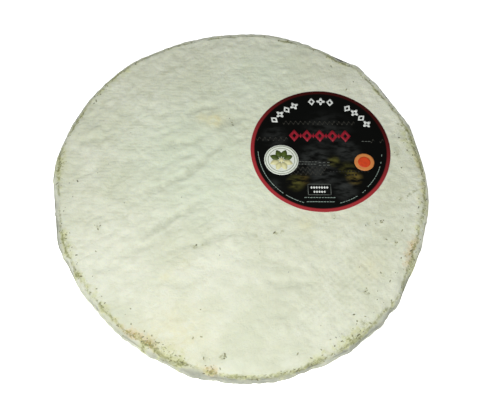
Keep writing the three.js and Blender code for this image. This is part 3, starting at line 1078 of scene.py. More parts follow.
def edge_tone(tree, own, tones, tone):
    """The colour with the moulds and the specks of the edge laid over it."""
    for name, where, size, spread, low, high, strength in EDGE_MOULDS:
        blots = blotted(tree, where, own, size, 2.0, spread, low, high)
        tone = tinted(tree, tone, tones[name], blots, strength, marked(tree, where, 0.02, 0.25))

    # A faint, much broken olive and umber line along the lip, where the top meets the side.
    beside = add(tree, "ShaderNodeAttribute", attribute_name="lip_gap").outputs["Fac"]
    beside = add(tree, "ShaderNodeMath", {0: beside}, operation="ABSOLUTE")
    inputs = {"Value": beside, "From Min": LIP_LINE_WIDTH, "From Max": LIP_LINE_HEART}
    line = add(tree, "ShaderNodeMapRange", inputs, interpolation_type="SMOOTHSTEP")
    stretches = patches(tree, own, 17, 0.38, 0.6)
    broken = patches(tree, own, 4, 0.36, 0.6, detail=3.0, roughness=0.7)
    tone = tinted(tree, tone, tones["olive"], line, stretches, broken, 0.6)
    broken = patches(tree, own, 2, 0.52, 0.64, roughness=0.7)
    tone = tinted(tree, tone, tones["umber"], line, stretches, broken, 0.5)

    # In places that line is thick and nearly black.
    blots = blotted(tree, "blackened", own, 2.4, 2.0, 2.4, 0.55, 0.9)
    tone = tinted(tree, tone, tones["umber"], blots, marked(tree, "blackened", 0.05, 0.2), 0.9)

    # A stain spreads round the places where the specks are sown.
    spread = patches(tree, own, 2.8, 0.35, 0.65)
    tone = tinted(tree, tone, tones["olive"], spread, marked(tree, "speckled", 0.03, 0.7), 0.55)

    # Lone specks under 1 mm across, in one of every few cells.
    inputs = {"Vector": own, "Scale": 1 / (LONE_SPECK_CELL * MM)}
    cells = add(tree, "ShaderNodeTexVoronoi", inputs).outputs
    inputs = {"Value": cells["Distance"], "From Min": 0.075, "From Max": 0.04}
    small = add(tree, "ShaderNodeMapRange", inputs, interpolation_type="SMOOTHSTEP")
    chance = add(tree, "ShaderNodeSeparateColor", {0: cells["Color"]})
    inputs = {"Value": chance, "From Min": 0.8, "From Max": 0.82}
    picked = add(tree, "ShaderNodeMapRange", inputs, interpolation_type="SMOOTHSTEP")
    return tinted(tree, tone, tones["umber"], small, picked, 0.6)


FLECK_INPUTS = {
    "Where": "String",
    "Flake": "Object",
    "Density": "Float",
    "Smallest": "Float",
    "Largest": "Float",
    "Longest": "Float",
    "Seed": "Int",
    "Material": "Material",
}
FLECK_FLATNESS = 0.3
LONGEST_FLECK = 2.6


def flecks_tree():
    """A geometry tree that sows flat flakes on the rind as thickly as an attribute says, each
    turned and stretched at random, and gives each a random tone."""
    tree, given = new_tree("flecks_on_rind", FLECK_INPUTS)
    thickness = add(tree, "GeometryNodeInputNamedAttribute", {"Name": given["Where"]})
    density = add(tree, "ShaderNodeMath", {0: thickness, 1: given["Density"]}, operation="MULTIPLY")
    inputs = {0: given["Geometry"], 4: density, 6: given["Seed"]}
    sown = add(tree, "GeometryNodeDistributePointsOnFaces", inputs)

    def chance(low, high, step):
        """A random value for each fleck; each step draws its own."""
        seed = add(tree, "ShaderNodeMath", {0: given["Seed"], 1: float(step)}, operation="ADD")
        inputs = {2: low, 3: high, "Seed": seed}
        return add(tree, "FunctionNodeRandomValue", inputs, data_type="FLOAT").outputs[1]

    inputs = {"Axis": (0, 0, 1), "Angle": chance(0.0, FULL_TURN, 1)}
    spin = add(tree, "FunctionNodeAxisAngleToRotation", inputs)
    inputs = {"Rotation": sown.outputs["Rotation"], "Rotate By": spin}
    turn = add(tree, "FunctionNodeRotateRotation", inputs, rotation_space="LOCAL")
    size = chance(given["Smallest"], given["Largest"], 2)
    stretch = chance(1.0, given["Longest"], 3)
    longer = add(tree, "ShaderNodeMath", {0: size, 1: stretch}, operation="MULTIPLY")
    flat = add(tree, "ShaderNodeMath", {0: size, 1: FLECK_FLATNESS}, operation="MULTIPLY")
    scale = add(tree, "ShaderNodeCombineXYZ", {0: longer, 1: size, 2: flat})
    flake = add(tree, "GeometryNodeObjectInfo", {0: given["Flake"]}).outputs["Geometry"]
    inputs = {"Points": sown, "Instance": flake, "Rotation": turn, "Scale": scale}
    flakes = add(tree, "GeometryNodeInstanceOnPoints", inputs)
    inputs = {0: flakes, "Name": "tone", "Value": chance(0.0, 1.0, 4)}
    toned = add(tree, "GeometryNodeStoreNamedAttribute", inputs, domain="INSTANCE")
    return ended(tree, toned, given["Material"])


def flake_mesh(name, seed, roughness):
    """A small rough flake of 20 faces, about one metre across before it is scaled."""
    rng = np.random.default_rng(seed)
    golden = (1 + math.sqrt(5)) / 2
    corners = []
    for a in (-1, 1):
        for b in (-golden, golden):
            corners += [(0, a, b), (a, b, 0), (b, 0, a)]
    corners = np.array(corners) / math.hypot(1, golden) / 2
    corners *= 1 + roughness * rng.uniform(-1, 1, (len(corners), 1))
    hull = bmesh.new()
    for corner in corners:
        hull.verts.new(corner)
    bmesh.ops.convex_hull(hull, input=hull.verts)
    mesh = bpy.data.meshes.new(name)
    hull.to_mesh(mesh)
    hull.free()
    mesh.shade_smooth()
    return mesh


def fleck_material(name, dark, light):
    """Dry mould: matt, granular, and a different tone from one fleck to the next."""
    material, tree, own = new_material(name)
    tone = add(tree, "ShaderNodeAttribute", attribute_name="tone").outputs["Fac"]
    grain = add(tree, "ShaderNodeTexNoise", {"Vector": own, "Scale": 1 / (1.2 * MM), "Detail": 2.0})
    grain = add(tree, "ShaderNodeMapRange", {"Value": grain, "To Min": -0.1, "To Max": 0.5})
    amount = add(tree, "ShaderNodeMath", {0: tone, 1: grain}, operation="ADD", use_clamp=True)
    inputs = {0: amount, 6: (*dark, 1), 7: (*light, 1)}
    colour_mix = add(tree, "ShaderNodeMix", inputs, data_type="RGBA").outputs[2]
    inputs = {"Base Color": colour_mix, "Roughness": 0.95, "Specular IOR Level": 0.15}
    return surfaced(material, inputs)


class CHEESE_OT_rind(Operator):
    """Build the wheel itself: one closed body of cheese under its rind"""

    bl_idname = "cheese_wheel.rind"
    bl_label = "Wheel and rind"

    def execute(self, context):
        sizes = context.scene.rind_sizes
        values = {name: getattr(sizes, name) for name in RELIEF_SIZES}
        values["material"] = rind_material(context.scene.rind_colours)
        mesh = grown(wheel_mesh(sizes), relief_tree(), values)
        piece = piece_of("wheel_rind", mesh)
        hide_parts("cheese_wheel")
        return {"FINISHED"}


class CHEESE_OT_flecks(Operator):
    """Sow the dark flecks of old mould on the finished rind"""

    bl_idname = "cheese_wheel.flecks"
    bl_label = "Mould flecks"

    def execute(self, context):
        sizes = context.scene.fleck_sizes
        colours = context.scene.rind_colours
        flake = placed("flake", flake_mesh("flake", seed=4, roughness=0.35))
        values = {
            "Where": "speckled",
            "Flake": flake,
            "Density": sizes.fleck_density,
            "Smallest": sizes.smallest_fleck,
            "Largest": sizes.largest_fleck,
            "Longest": LONGEST_FLECK,
            "Seed": 3,
            "Material": fleck_material("old_mould", colours.umber, colours.fawn),
        }
        mesh = grown(bpy.data.objects["wheel_rind"].data.copy(), flecks_tree(), values)
        bpy.data.objects.remove(flake)
        piece_of("mould_flecks", mesh)
        return {"FINISHED"}


# ---------------------------------------------------------------- the label's shape

# Millimetres from the label's middle, with x to the right and y away from the viewer.
SHEET_RINGS = [0, 0.4, 1.2, 2.4]
SHEET_STEPS = (2.2, 2.2)
SHEET_POINTS = 240
RIND_PROBE_STEP = 3.5
RIND_PROBE_REACH = 4
SHEET_CLEARANCE = 0.22
INK_SINK = 0.04
LOOSE_EDGES = [(205, 16, 1.0), (262, 12, 0.5), (330, 14, 0.8), (38, 14, 0.6), (120, 16, 0.4)]
EDGE_CURL_WIDTH = 5


class LabelSurface:
    """The height of the label's underside, which lies on the finished rind and lifts at its edge."""

    def __init__(self, sizes):
        """Probes the finished rind under the label."""
        tree = tree_of(bpy.data.objects["wheel_rind"].data)
        middle = (LABEL_X, LABEL_Y)
        self.rind = probe(tree, middle, LABEL_RADIUS + RIND_PROBE_STEP, RIND_PROBE_STEP, RIND_PROBE_REACH)
        self.lift = sizes.edge_lift / MM

    def at(self, x, y):
        """The height at places given from the label's middle."""
        gap = LABEL_RADIUS - np.hypot(x, y)
        loose = np.clip(bumps(np.arctan2(y, x), LOOSE_EDGES), 0, 1)
        curl = self.lift * loose * np.clip(1 - gap / EDGE_CURL_WIDTH, 0, 1) ** 2
        return self.rind.at(x + LABEL_X, y + LABEL_Y) + SHEET_CLEARANCE + curl


def laid(mesh, surface, height):
    """Lays a flat mesh, drawn about the label's middle, on a surface, raised by so many millimetres."""
    points = np.empty(3 * len(mesh.vertices))
    mesh.vertices.foreach_get("co", points)
    x, y, z = points.reshape(-1, 3).T / MM
    points = np.column_stack([x + LABEL_X, y + LABEL_Y, z + surface.at(x, y) + height])
    mesh.vertices.foreach_set("co", (points * MM).ravel())
    mesh.update()
    return mesh


def slab_faces(faces, count, *loops):
    """Faces of a closed slab: its top, the same faces below it, and walls round its outline and
    its holes. The lower points follow the count upper ones."""
    made = faces.tolist() + (faces[:, ::-1] + count).tolist()
    for loop in loops:
        after = np.roll(loop, -1)
        made += np.column_stack([loop, np.add(loop, count), after + count, after]).tolist()
    return made


def disc_mesh(name, radius, count, rings, steps, levels):
    """A closed round slab about the middle, between two levels, with enough points inside it to
    follow what it lies on."""
    flat, faces = filled(bearings_round(count), np.full(count, radius), rings, *steps)
    lower, upper = [np.column_stack([flat, np.full(len(flat), level)]) for level in levels]
    return mesh_of(name, np.vstack([upper, lower]), slab_faces(faces, len(flat), range(count)))


def fan(outline):
    """A mark filled from its middle: its points, its faces and its outline."""
    count = len(outline)
    loop = np.arange(count)
    points = np.vstack([outline, outline.mean(0)])
    return points, np.column_stack([loop, np.roll(loop, -1), np.full(count, count)]), [loop]


def band(outer, inner):
    """A mark between two equally long loops: its points, its faces, its outline and its hole."""
    count = len(outer)
    loop = np.arange(count)
    after = np.roll(loop, -1)
    faces = np.column_stack([loop, after, after + count, loop + count])
    return np.vstack([outer, inner]), faces, [loop, loop[::-1] + count]


def ribbon(outline):
    """A mark whose outline runs along its lower side and back along its upper one."""
    count = len(outline)
    there = np.arange(count // 2 - 1)
    back = count - 1 - there
    return outline, np.column_stack([there, there + 1, back - 1, back]), [np.arange(count)]


def plate(name, sizes, *drawn):
    """Marks of ink as one flat mesh, still about their own middle: fans, bands and ribbons."""
    points, faces = [], []
    for flat, top_faces, loops in drawn:
        start = len(points)
        for height in (sizes.ink_thickness / MM, -INK_SINK):
            points += np.column_stack([flat, np.full(len(flat), height)]).tolist()
        made = slab_faces(top_faces, len(flat), *loops)
        faces += [[start + corner for corner in face] for face in made]
    return mesh_of(name, points, faces)


def loop_of(radius_at, count):
    """A closed loop of points about the middle, with its radius given at each bearing."""
    bearings = bearings_round(count)
    return ring(bearings, radius_at(bearings))


def round_loop(radius, count, middle=(0, 0)):
    """A circle."""
    return loop_of(lambda bearings: np.full(len(bearings), radius), count) + np.array(middle)


def lozenge_loop(width, height, count, pinch=1.0):
    """A lozenge of this width and height; a pinch above 1 draws its sides inwards."""
    bearings = bearings_round(count)
    across, up = np.cos(bearings), np.sin(bearings)
    size = (np.abs(across) ** (1 / pinch) + np.abs(up) ** (1 / pinch)) ** -pinch
    return np.column_stack([width / 2 * size * across, height / 2 * size * up])


def lobed_loop(radius, depth, lobes, count):
    """A flower outline of this radius, drawn in by a share of it between its lobes."""
    return loop_of(lambda bearings: radius * (1 - depth * (0.5 - 0.5 * np.cos(lobes * bearings))), count)


def bar_loop(width, height, middle=(0, 0), step=2.0):
    """A straight bar, with points along its long sides."""
    count = max(1, round(width / step))
    x = np.linspace(-width / 2, width / 2, count + 1)
    lower = np.column_stack([x, np.full(count + 1, -height / 2)])
    upper = np.column_stack([x[::-1], np.full(count + 1, height / 2)])
    return np.vstack([lower, upper]) + np.array(middle)


def wave_loop(width, height, line):
    """One full wave of a line this wide."""
    x = np.linspace(-width / 2, width / 2, 13)
    y = height / 2 * np.sin(FULL_TURN * x / width)
    lower = np.column_stack([x, y - line])
    upper = np.column_stack([x, y + line])[::-1]
    return np.vstack([lower, upper])


def arc_path(radius, start, end):
    """Points along an arc about the label's middle, between two bearings in degrees."""
    count = max(8, int(abs(end - start)))
    bearings = np.radians(np.linspace(start, end, count))
    return ring(bearings, np.full(count, radius))


def row_path(start_x, end_x, y):
    """Points along a straight row."""
    count = max(4, int(abs(end_x - start_x) / 2))
    return np.column_stack([np.linspace(start_x, end_x, count), np.full(count, y)])


MARK_INPUTS = {
    "Mark": "Object",
    "Other Mark": "Object",
    "Count": "Int",
    "Left Out": "Float",
    "Shortest": "Float",
    "Seed": "Int",
    "Material": "Material",
}


def marks_tree():
    """A geometry tree that sets marks evenly along a path, every other one the other mark, each
    turned along the path. It can leave some out and shorten the rest at random."""
    tree, given = new_tree("marks_along_path", MARK_INPUTS)
    curve = add(tree, "GeometryNodeMeshToCurve", {0: given["Geometry"]})
    spaced = add(tree, "GeometryNodeResampleCurve", {0: curve, "Count": given["Count"]}, mode="COUNT")
    index = add(tree, "GeometryNodeInputIndex")
    odd = add(tree, "ShaderNodeMath", {0: index, 1: 2.0}, operation="MODULO")
    odd = add(tree, "FunctionNodeCompare", {0: odd, 1: 0.5}, operation="GREATER_THAN")
    even = add(tree, "FunctionNodeBooleanMath", {0: odd}, operation="NOT")
    tangent = add(tree, "GeometryNodeInputTangent")
    turn = add(tree, "FunctionNodeAlignRotationToVector", {"Vector": tangent}, axis="X", pivot_axis="Z")
    kept = add(tree, "ShaderNodeMath", {0: 1.0, 1: given["Left Out"]}, operation="SUBTRACT")
    inputs = {"Probability": kept, "Seed": given["Seed"]}
    kept = add(tree, "FunctionNodeRandomValue", inputs, data_type="BOOLEAN").outputs[3]
    inputs = {2: given["Shortest"], 3: 1.0, "Seed": given["Seed"]}
    longer = add(tree, "FunctionNodeRandomValue", inputs, data_type="FLOAT").outputs[1]
    scale = add(tree, "ShaderNodeCombineXYZ", {0: longer, 1: 1.0, 2: 1.0})
    rows = []
    for name, chosen in (("Mark", even), ("Other Mark", odd)):
        mark = add(tree, "GeometryNodeObjectInfo", {0: given[name]}).outputs["Geometry"]
        chosen = add(tree, "FunctionNodeBooleanMath", {0: chosen, 1: kept}, operation="AND")
        inputs = {"Points": spaced, "Selection": chosen, "Instance": mark, "Rotation": turn, "Scale": scale}
        rows.append(add(tree, "GeometryNodeInstanceOnPoints", inputs))
    joined = add(tree, "GeometryNodeJoinGeometry")
    for row in rows:
        tree.links.new(row.outputs[0], joined.inputs[0])
    return ended(tree, joined, given["Material"])


# ---------------------------------------------------------------- the label's finish

# Inks: material, colour, and how far the ink has worn.
INKS = [
    ("white_ink", "white_ink", 0.35),
    ("grey_ink", "grey_ink", 0.9),
    ("red_ink", "red_ink", 0.5),
    ("silver_ink", "silver_ink", 0.5),
    ("ash_ink", "ash_ink", 0.6),
    ("black_ink", "field", 0.0),
    ("pale_ink", "pale_disc", 0.15),
    ("green_ink", "leaf_green", 0.5),
    ("cream_ink", "cream", 0.2),
    ("amber_ink", "amber", 0.25),
    ("vermilion_ink", "vermilion", 0.3),
]
# The border's ink goes from dark to bright in this direction, between these distances, and fades
# in over this much inside and outside its inner edge.
BORDER_LIGHT_FROM = (-0.35, -0.94, 0)
BORDER_DARKEST = -58.0
BORDER_BRIGHTEST = 42.0
BORDER_SOFT_INSIDE = 0.5
BORDER_SOFT_OUTSIDE = 0.9
# The white of the paper shows this far in from its cut edge, from faint to full.
CUT_FAINT = 0.35
CUT_FULL = 0.1
# The blotches in the hazes are drawn out along X by this scale. A haze is full over this share of
# its radius, and ink that has worn keeps this share of its brightness.
HAZE_STRETCH = (0.35, 1, 1)
HAZE_HEART = 0.2
THIN_INK = 0.45
# Patches on the field: colour, x, y, radius and strength. The olive and gold ones are printed haze, the
# slate ones a painted sheen.
FIELD_PRINT_AND_SHEEN = [
    ("slate_haze", 22, -44, 15, 0.75),
    ("slate_haze", 26, -2, 17, 0.6),
    ("slate_haze", -6, -12, 22, 0.75),
    ("slate_haze", 2, -30, 20, 0.55),
    ("slate_haze", 8, 20, 30, 0.4),
    ("slate_haze", -44, 14, 16, 0.5),
    ("slate_haze", -46, -40, 10, 0.4),
    ("olive_haze", 12, -13, 8, 0.75),
    ("olive_haze", -25, -37, 11, 0.7),
    ("olive_haze", 25, -22, 11, 0.5),
    ("gold_haze", 31, -31, 10, 0.75),
    ("gold_haze", -17, -33, 8, 0.35),
]


def round_spot(tree, place, middle, edge, full):
    """How far a point is inside a soft round spot: 0 at the edge radius, 1 at the full radius."""
    inputs = {0: place, 1: (*middle, 0)}
    away = add(tree, "ShaderNodeVectorMath", inputs, operation="DISTANCE").outputs["Value"]
    inputs = {"Value": away, "From Min": edge, "From Max": full}
    return add(tree, "ShaderNodeMapRange", inputs, interpolation_type="SMOOTHSTEP")


def label_material(sizes, colours):
    """Printed label paper: coated paper under a black flood of ink and a thin varnish. It is dark
    and even, with a low soft sheen, and its red border goes from bright at the near side to dark at the far
    side."""
    material, tree, own = new_material("printed_paper")
    tones = {name: (*getattr(colours, name), 1) for name in LabelColours.__annotations__}
    # From here on places are millimetres from the label's middle.
    inputs = {"Vector": own, "Location": (-LABEL_X, -LABEL_Y, 0), "Scale": (1 / MM, 1 / MM, 0)}
    place = add(tree, "ShaderNodeMapping", inputs)

    # The hazes and the painted sheen on the field are broken by drawn-out blotches.
    drawn = add(tree, "ShaderNodeVectorMath", {0: place, 1: HAZE_STRETCH}, operation="MULTIPLY")
    inputs = {"Vector": drawn, "Scale": 0.22, "Detail": 4.0, "Roughness": 0.6}
    blotches = add(tree, "ShaderNodeTexNoise", inputs)
    inputs = {"Value": blotches, "From Min": 0.36, "From Max": 0.62}
    broken = add(tree, "ShaderNodeMapRange", inputs, interpolation_type="SMOOTHSTEP")
    tone = tones["field"]
    # The slate patches lay a painted sheen over the black ink.
    for name, x, y, radius, strength in FIELD_PRINT_AND_SHEEN:
        haze = round_spot(tree, place, (x, y), radius, radius * HAZE_HEART)
        tone = tinted(tree, tone, tones[name], haze, broken, strength)

    side = add(tree, "ShaderNodeVectorMath", {0: place, 1: BORDER_LIGHT_FROM}, operation="DOT_PRODUCT")
    inputs = {"Value": side.outputs["Value"], "From Min": BORDER_DARKEST, "From Max": BORDER_BRIGHTEST}
    lit = add(tree, "ShaderNodeMapRange", inputs, interpolation_type="SMOOTHSTEP")
    border = tinted(tree, tones["border_dark"], tones["border_bright"], lit)
    inner = LABEL_RADIUS - sizes.border_width / MM
    bordered = round_spot(tree, place, (0, 0), inner - BORDER_SOFT_INSIDE, inner + BORDER_SOFT_OUTSIDE)
    tone = tinted(tree, tone, border, bordered)
    cut = round_spot(tree, place, (0, 0), LABEL_RADIUS - CUT_FAINT, LABEL_RADIUS - CUT_FULL)
    tone = tinted(tree, tone, tones["pale_disc"], cut, 0.5)

    fibres = add(tree, "ShaderNodeTexNoise", {"Vector": place, "Scale": 0.9, "Detail": 3.0})
    bump = add(tree, "ShaderNodeBump", {"Strength": 0.3, "Distance": 0.1 * MM, "Height": fibres})
    rough = add(tree, "ShaderNodeMapRange", {"Value": blotches, "To Min": 0.34, "To Max": 0.5})
    inputs = {
        "Base Color": tone,
        "Roughness": rough,
        "Normal": bump,
        "IOR": 1.45,
        "Specular IOR Level": 0.18,
    }
    return surfaced(material, inputs)


def ink_material(name, ink, wear):
    """Offset ink under varnish: matt and even, a little thin where it rubbed on the paper's grain."""
    material, tree, own = new_material(name)
    worn = add(tree, "ShaderNodeTexNoise", {"Vector": own, "Scale": 1 / (3 * MM), "Detail": 3.0})
    inputs = {"Value": worn, "From Min": 0.4, "From Max": 0.7, "To Max": wear}
    worn = add(tree, "ShaderNodeMapRange", inputs)
    thin = (*[channel * THIN_INK for channel in ink], 1)
    rough = add(tree, "ShaderNodeMapRange", {"Value": worn, "To Min": 0.45, "To Max": 0.7})
    tone = tinted(tree, (*ink, 1), thin, worn)
    inputs = {"Base Color": tone, "Roughness": rough, "Specular IOR Level": 0.3}
    return surfaced(material, inputs)


class CHEESE_OT_label(Operator):
    """Build the label's paper, lying on the finished rind"""

    bl_idname = "cheese_wheel.label"
    bl_label = "Label paper"

    def execute(self, context):
        sizes = context.scene.label_sizes
        levels = (0, sizes.paper_thickness / MM)
        flat = disc_mesh("label_sheet", LABEL_RADIUS, SHEET_POINTS, SHEET_RINGS, SHEET_STEPS, levels)
        mesh = laid(flat, LabelSurface(sizes), 0)
        material = label_material(sizes, context.scene.label_colours)
        mesh.materials.append(material)
        piece = piece_of("label_sheet", mesh)
        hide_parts("paper_label")
        return {"FINISHED"}


# ---------------------------------------------------------------- the print

ROSETTE_MIDDLE = (-38.1, -12.1)
ROSETTE_RADIUS = 16.6
ROSETTE_RINGS = [(0.93, 0.9), (0.78, 0.755)]
PETALS = 8
PETAL_PLACE = (7, 0)
PETAL_LENGTH = 9.6
PETAL_WIDTH = 6.2
PETAL_PINCH = 0.75
ROSETTE_HEART_RADIUS = 2.4
SPOT_MIDDLE = (41.7, -13.8)
SPOT_RADIUS = 9.6
SPOT_HEART_RADIUS = 6
DISC_POINTS = 48
DISC_RINGS = [0, 1.2]
DISC_STEPS = (2.2, 2.0)
FRAME_MIDDLE = np.array((-2.7, -44))
FRAME_WIDTH = 21.5
FRAME_HEIGHT = 11.3
# The frame's two rows of beads: how many, where the row starts and ends, its y, and bead height.
BEAD_ROWS = [(7, -7.4, 7.4, 2.2, 3.2), (5, -4.8, 4.8, -2.4, 2.8)]
BEAD_WIDTH = 2.3
# Rows of ornaments: path, how many, share left out, shortest.
FLORET_ROWS = [
    (arc_path(55.5, 143, 116), 4, 0.0, 1.0),
    (arc_path(55.5, 97, 78), 3, 0.0, 1.0),
    (arc_path(55.5, 59, 32), 4, 0.0, 1.0),
]
LOZENGE_ROWS = [(row_path(-25, 25, 15.4), 9, 0.0, 1.0)]
# Rows of fine dashes: path, number of dashes, share left out, shortest length.
PALE_ROWS = [
    (arc_path(60.6, 184, 219), 15, 0.0, 0.8),
    (arc_path(60.6, 221, 252), 13, 0.1, 0.7),
    (arc_path(60.4, 284, 312), 12, 0.1, 0.6),
    (arc_path(59.4, 315, 354), 16, 0.1, 0.6),
    (row_path(-16, 11, -52.6), 11, 0.0, 0.6),
    (row_path(-14, 10, -57.0), 10, 0.0, 0.6),
]
ASH_ROWS = [
    (row_path(-20, -5, -14), 6, 0.0, 0.7),
    (row_path(-21, -6, -16.6), 6, 0.0, 0.7),
    (row_path(-1, 7, -14.6), 3, 0.0, 0.9),
    (row_path(-1, 7, -17.6), 3, 0.0, 0.9),
    (row_path(42, 48, 9.6), 3, 0.0, 0.9),
]
DARK_ROWS = [(row_path(9, 45, -24), 13, 0.1, 0.6), (row_path(20, 36, -28), 6, 0.2, 0.6)]
# Rows of faint waves: path, number of waves, share left out, shortest.
WAVE_ROWS = [
    (row_path(-34, 33, 30.2), 15, 0.1, 0.7),
    (row_path(-60, -34, 11.2), 6, 0.0, 0.8),
    (row_path(51, 60, 10), 2, 0.0, 0.8),
    (row_path(-28, 4, -21.5), 8, 0.1, 0.8),
    (row_path(-28, 0, -26.5), 7, 0.1, 0.8),
]
DASH_LENGTH = 2.6
WAVE_LENGTH = 4.4
WAVE_LINE = 0.5
BAR_HEIGHT = 1.5


def guide(points):
    """A path in the label's flat plane, as a mesh of edges."""
    mesh = bpy.data.meshes.new("guide")
    places = np.column_stack([points, np.zeros(len(points))]) * MM
    edges = [(i, i + 1) for i in range(len(points) - 1)]
    mesh.from_pydata(places.tolist(), edges, [])
    return mesh


def joined(name, meshes):
    """One mesh of several that share a material."""
    points, faces = [], []
    for mesh in meshes:
        start = len(points)
        points += [v.co / MM for v in mesh.vertices]
        faces += [[start + corner for corner in face.vertices] for face in mesh.polygons]
    return mesh_of(name, points, faces)


def marks(name, tree, rows, mark, other, material):
    """One flat mesh of the marks along all these rows."""
    holders = [placed(mesh.name, mesh) for mesh in (mark, other)]
    made = []
    for seed, (path, count, left_out, shortest) in enumerate(rows):
        values = {
            "Mark": holders[0],
            "Other Mark": holders[1],
            "Count": count,
            "Left Out": left_out,
            "Shortest": shortest,
            "Seed": seed,
            "Material": material,
        }
        made.append(grown(guide(path), tree, values))
    for holder in holders:
        bpy.data.objects.remove(holder)
    mesh = joined(name, made)
    mesh.materials.append(material)
    return mesh


def turned_loop(loop, angle):
    """The loop turned about the middle."""
    cosine = math.cos(angle)
    sine = math.sin(angle)
    return loop @ np.array([[cosine, sine], [-sine, cosine]])


def framed_beads():
    """The small lozenges inside the frame."""
    beads = []
    for count, start, end, y, height in BEAD_ROWS:
        for x in np.linspace(start, end, count):
            beads.append(lozenge_loop(BEAD_WIDTH, height, 12) + (x, y) + FRAME_MIDDLE)
    return beads


def frame_bars(line):
    """The four bars of the frame, of this line width."""
    half_width = FRAME_WIDTH / 2
    half_height = FRAME_HEIGHT / 2
    bars = [
        bar_loop(FRAME_WIDTH, line, (0, half_height)),
        bar_loop(FRAME_WIDTH, line, (0, -half_height)),
        bar_loop(line, FRAME_HEIGHT - line, (half_width, 0)),
        bar_loop(line, FRAME_HEIGHT - line, (-half_width, 0)),
    ]
    return [bar + FRAME_MIDDLE for bar in bars]


def inked(mesh, ink, middle=(0, 0), rise=0):
    """Gives a flat mesh its ink, and moves it by millimetres in the label's plane and metres up."""
    mesh.materials.append(ink)
    for vertex in mesh.vertices:
        vertex.co += Vector((middle[0] * MM, middle[1] * MM, rise))
    return mesh


def rows_of_marks(sizes, inks):
    """The florets, the lozenges and the fine rows, each a flat mesh."""
    tall = sizes.floret_height / MM
    lozenge = band(lozenge_loop(tall * 0.8, tall, 24), lozenge_loop(tall * 0.34, tall * 0.46, 24))
    lobes = lobed_loop(tall / 2, depth=0.5, lobes=4, count=32)
    quatrefoil = band(lobes, round_loop(tall * 0.1, 32))
    tall = sizes.lozenge_height / MM
    large = band(lozenge_loop(tall * 0.78, tall, 24), lozenge_loop(tall * 0.26, tall * 0.4, 24))
    small = fan(lozenge_loop(tall * 0.2, tall * 0.42, 12))
    dash = fan(bar_loop(DASH_LENGTH, sizes.dash_height / MM))
    bar = fan(bar_loop(DASH_LENGTH, BAR_HEIGHT))
    wave = ribbon(wave_loop(WAVE_LENGTH, sizes.wave_height / MM, WAVE_LINE))
    tree = marks_tree()
    meshes = []
    for name, rows, mark, other, ink in (
        ("white_florets", FLORET_ROWS, lozenge, quatrefoil, inks["white_ink"]),
        ("red_lozenges", LOZENGE_ROWS, large, small, inks["red_ink"]),
        ("pale_dashes", PALE_ROWS, dash, dash, inks["silver_ink"]),
        ("ash_dashes", ASH_ROWS, dash, dash, inks["ash_ink"]),
        ("black_bars", DARK_ROWS, bar, bar, inks["black_ink"]),
        ("faint_waves", WAVE_ROWS, wave, wave, inks["grey_ink"]),
    ):
        mark = plate("mark", sizes, mark)
        other = plate("other_mark", sizes, other)
        meshes.append(marks(name, tree, rows, mark, other, ink))
    return meshes


def frame_meshes(sizes, inks):
    """The thin frame and the small lozenges in it."""
    bars = [fan(bar) for bar in frame_bars(sizes.frame_line / MM)]
    beads = [fan(bead) for bead in framed_beads()]
    return [
        inked(plate("thin_frame", sizes, *bars), inks["ash_ink"]),
        inked(plate("framed_lozenges", sizes, *beads), inks["white_ink"]),
    ]


def round_disc(name, radius, sizes):
    """A round patch of ink, with points enough inside to follow the paper."""
    levels = (-INK_SINK, sizes.ink_thickness / MM)
    return disc_mesh(name, radius, DISC_POINTS, DISC_RINGS, DISC_STEPS, levels)


def rosette_meshes(sizes, inks):
    """An off-white round field with two rings, green petals above and cream ones below."""
    rings = []
    for outer, inner in ROSETTE_RINGS:
        rings.append(band(round_loop(ROSETTE_RADIUS * outer, 64), round_loop(ROSETTE_RADIUS * inner, 64)))
    petal = lozenge_loop(PETAL_LENGTH, PETAL_WIDTH, 20, PETAL_PINCH) + PETAL_PLACE
    turns = bearings_round(PETALS) + FULL_TURN / PETALS / 2
    petals = [fan(turned_loop(petal, turn)) for turn in turns]
    upper = plate("rosette_green_petals", sizes, *petals[: PETALS // 2])
    lower = plate("rosette_cream_petals", sizes, *petals[PETALS // 2 :])
    heart = plate("rosette_heart", sizes, fan(round_loop(ROSETTE_HEART_RADIUS, 24)))
    layer = sizes.ink_thickness
    return [
        inked(round_disc("rosette_disc", ROSETTE_RADIUS, sizes), inks["pale_ink"], ROSETTE_MIDDLE),
        inked(plate("rosette_rings", sizes, *rings), inks["green_ink"], ROSETTE_MIDDLE, layer),
        inked(upper, inks["green_ink"], ROSETTE_MIDDLE, layer),
        inked(lower, inks["cream_ink"], ROSETTE_MIDDLE, layer),
        inked(heart, inks["cream_ink"], ROSETTE_MIDDLE, 2 * layer),
    ]


def spot_meshes(sizes, inks):
    """A plain amber spot with a vermilion heart."""
    disc = round_disc("amber_spot", SPOT_RADIUS, sizes)
    heart = round_disc("spot_heart", SPOT_HEART_RADIUS, sizes)
    return [
        inked(disc, inks["amber_ink"], SPOT_MIDDLE),
        inked(heart, inks["vermilion_ink"], SPOT_MIDDLE, sizes.ink_thickness),
    ]


class CHEESE_OT_print(Operator):
    """Build the print on the label: florets, lozenges, a rosette, a spot, a frame and fine dashes"""

    bl_idname = "cheese_wheel.print"
    bl_label = "Label print"

    def execute(self, context):
        sizes = context.scene.label_sizes
        colours = context.scene.label_colours
        inks = {name: ink_material(name, getattr(colours, tone), wear) for name, tone, wear in INKS}
        surface = LabelSurface(sizes)
        for drawn in (rows_of_marks, frame_meshes, rosette_meshes, spot_meshes):
            for mesh in drawn(sizes, inks):
                piece_of(mesh.name, laid(mesh, surface, sizes.paper_thickness / MM))
        return {"FINISHED"}


# ---------------------------------------------------------------- the stage

CAMERA_PLACE = (0.6, -338.5, 668.3)
CAMERA_AIM = (-1.6, -6.7, 0.0)
CAMERA_LENS = 57.58
KEY_PLACE = (-60, -280, 660)
KEY_WIDTH = 300
SKY_COLOUR = "#F4F6FA"
FLOOR_COLOUR = "#FAFAF8"


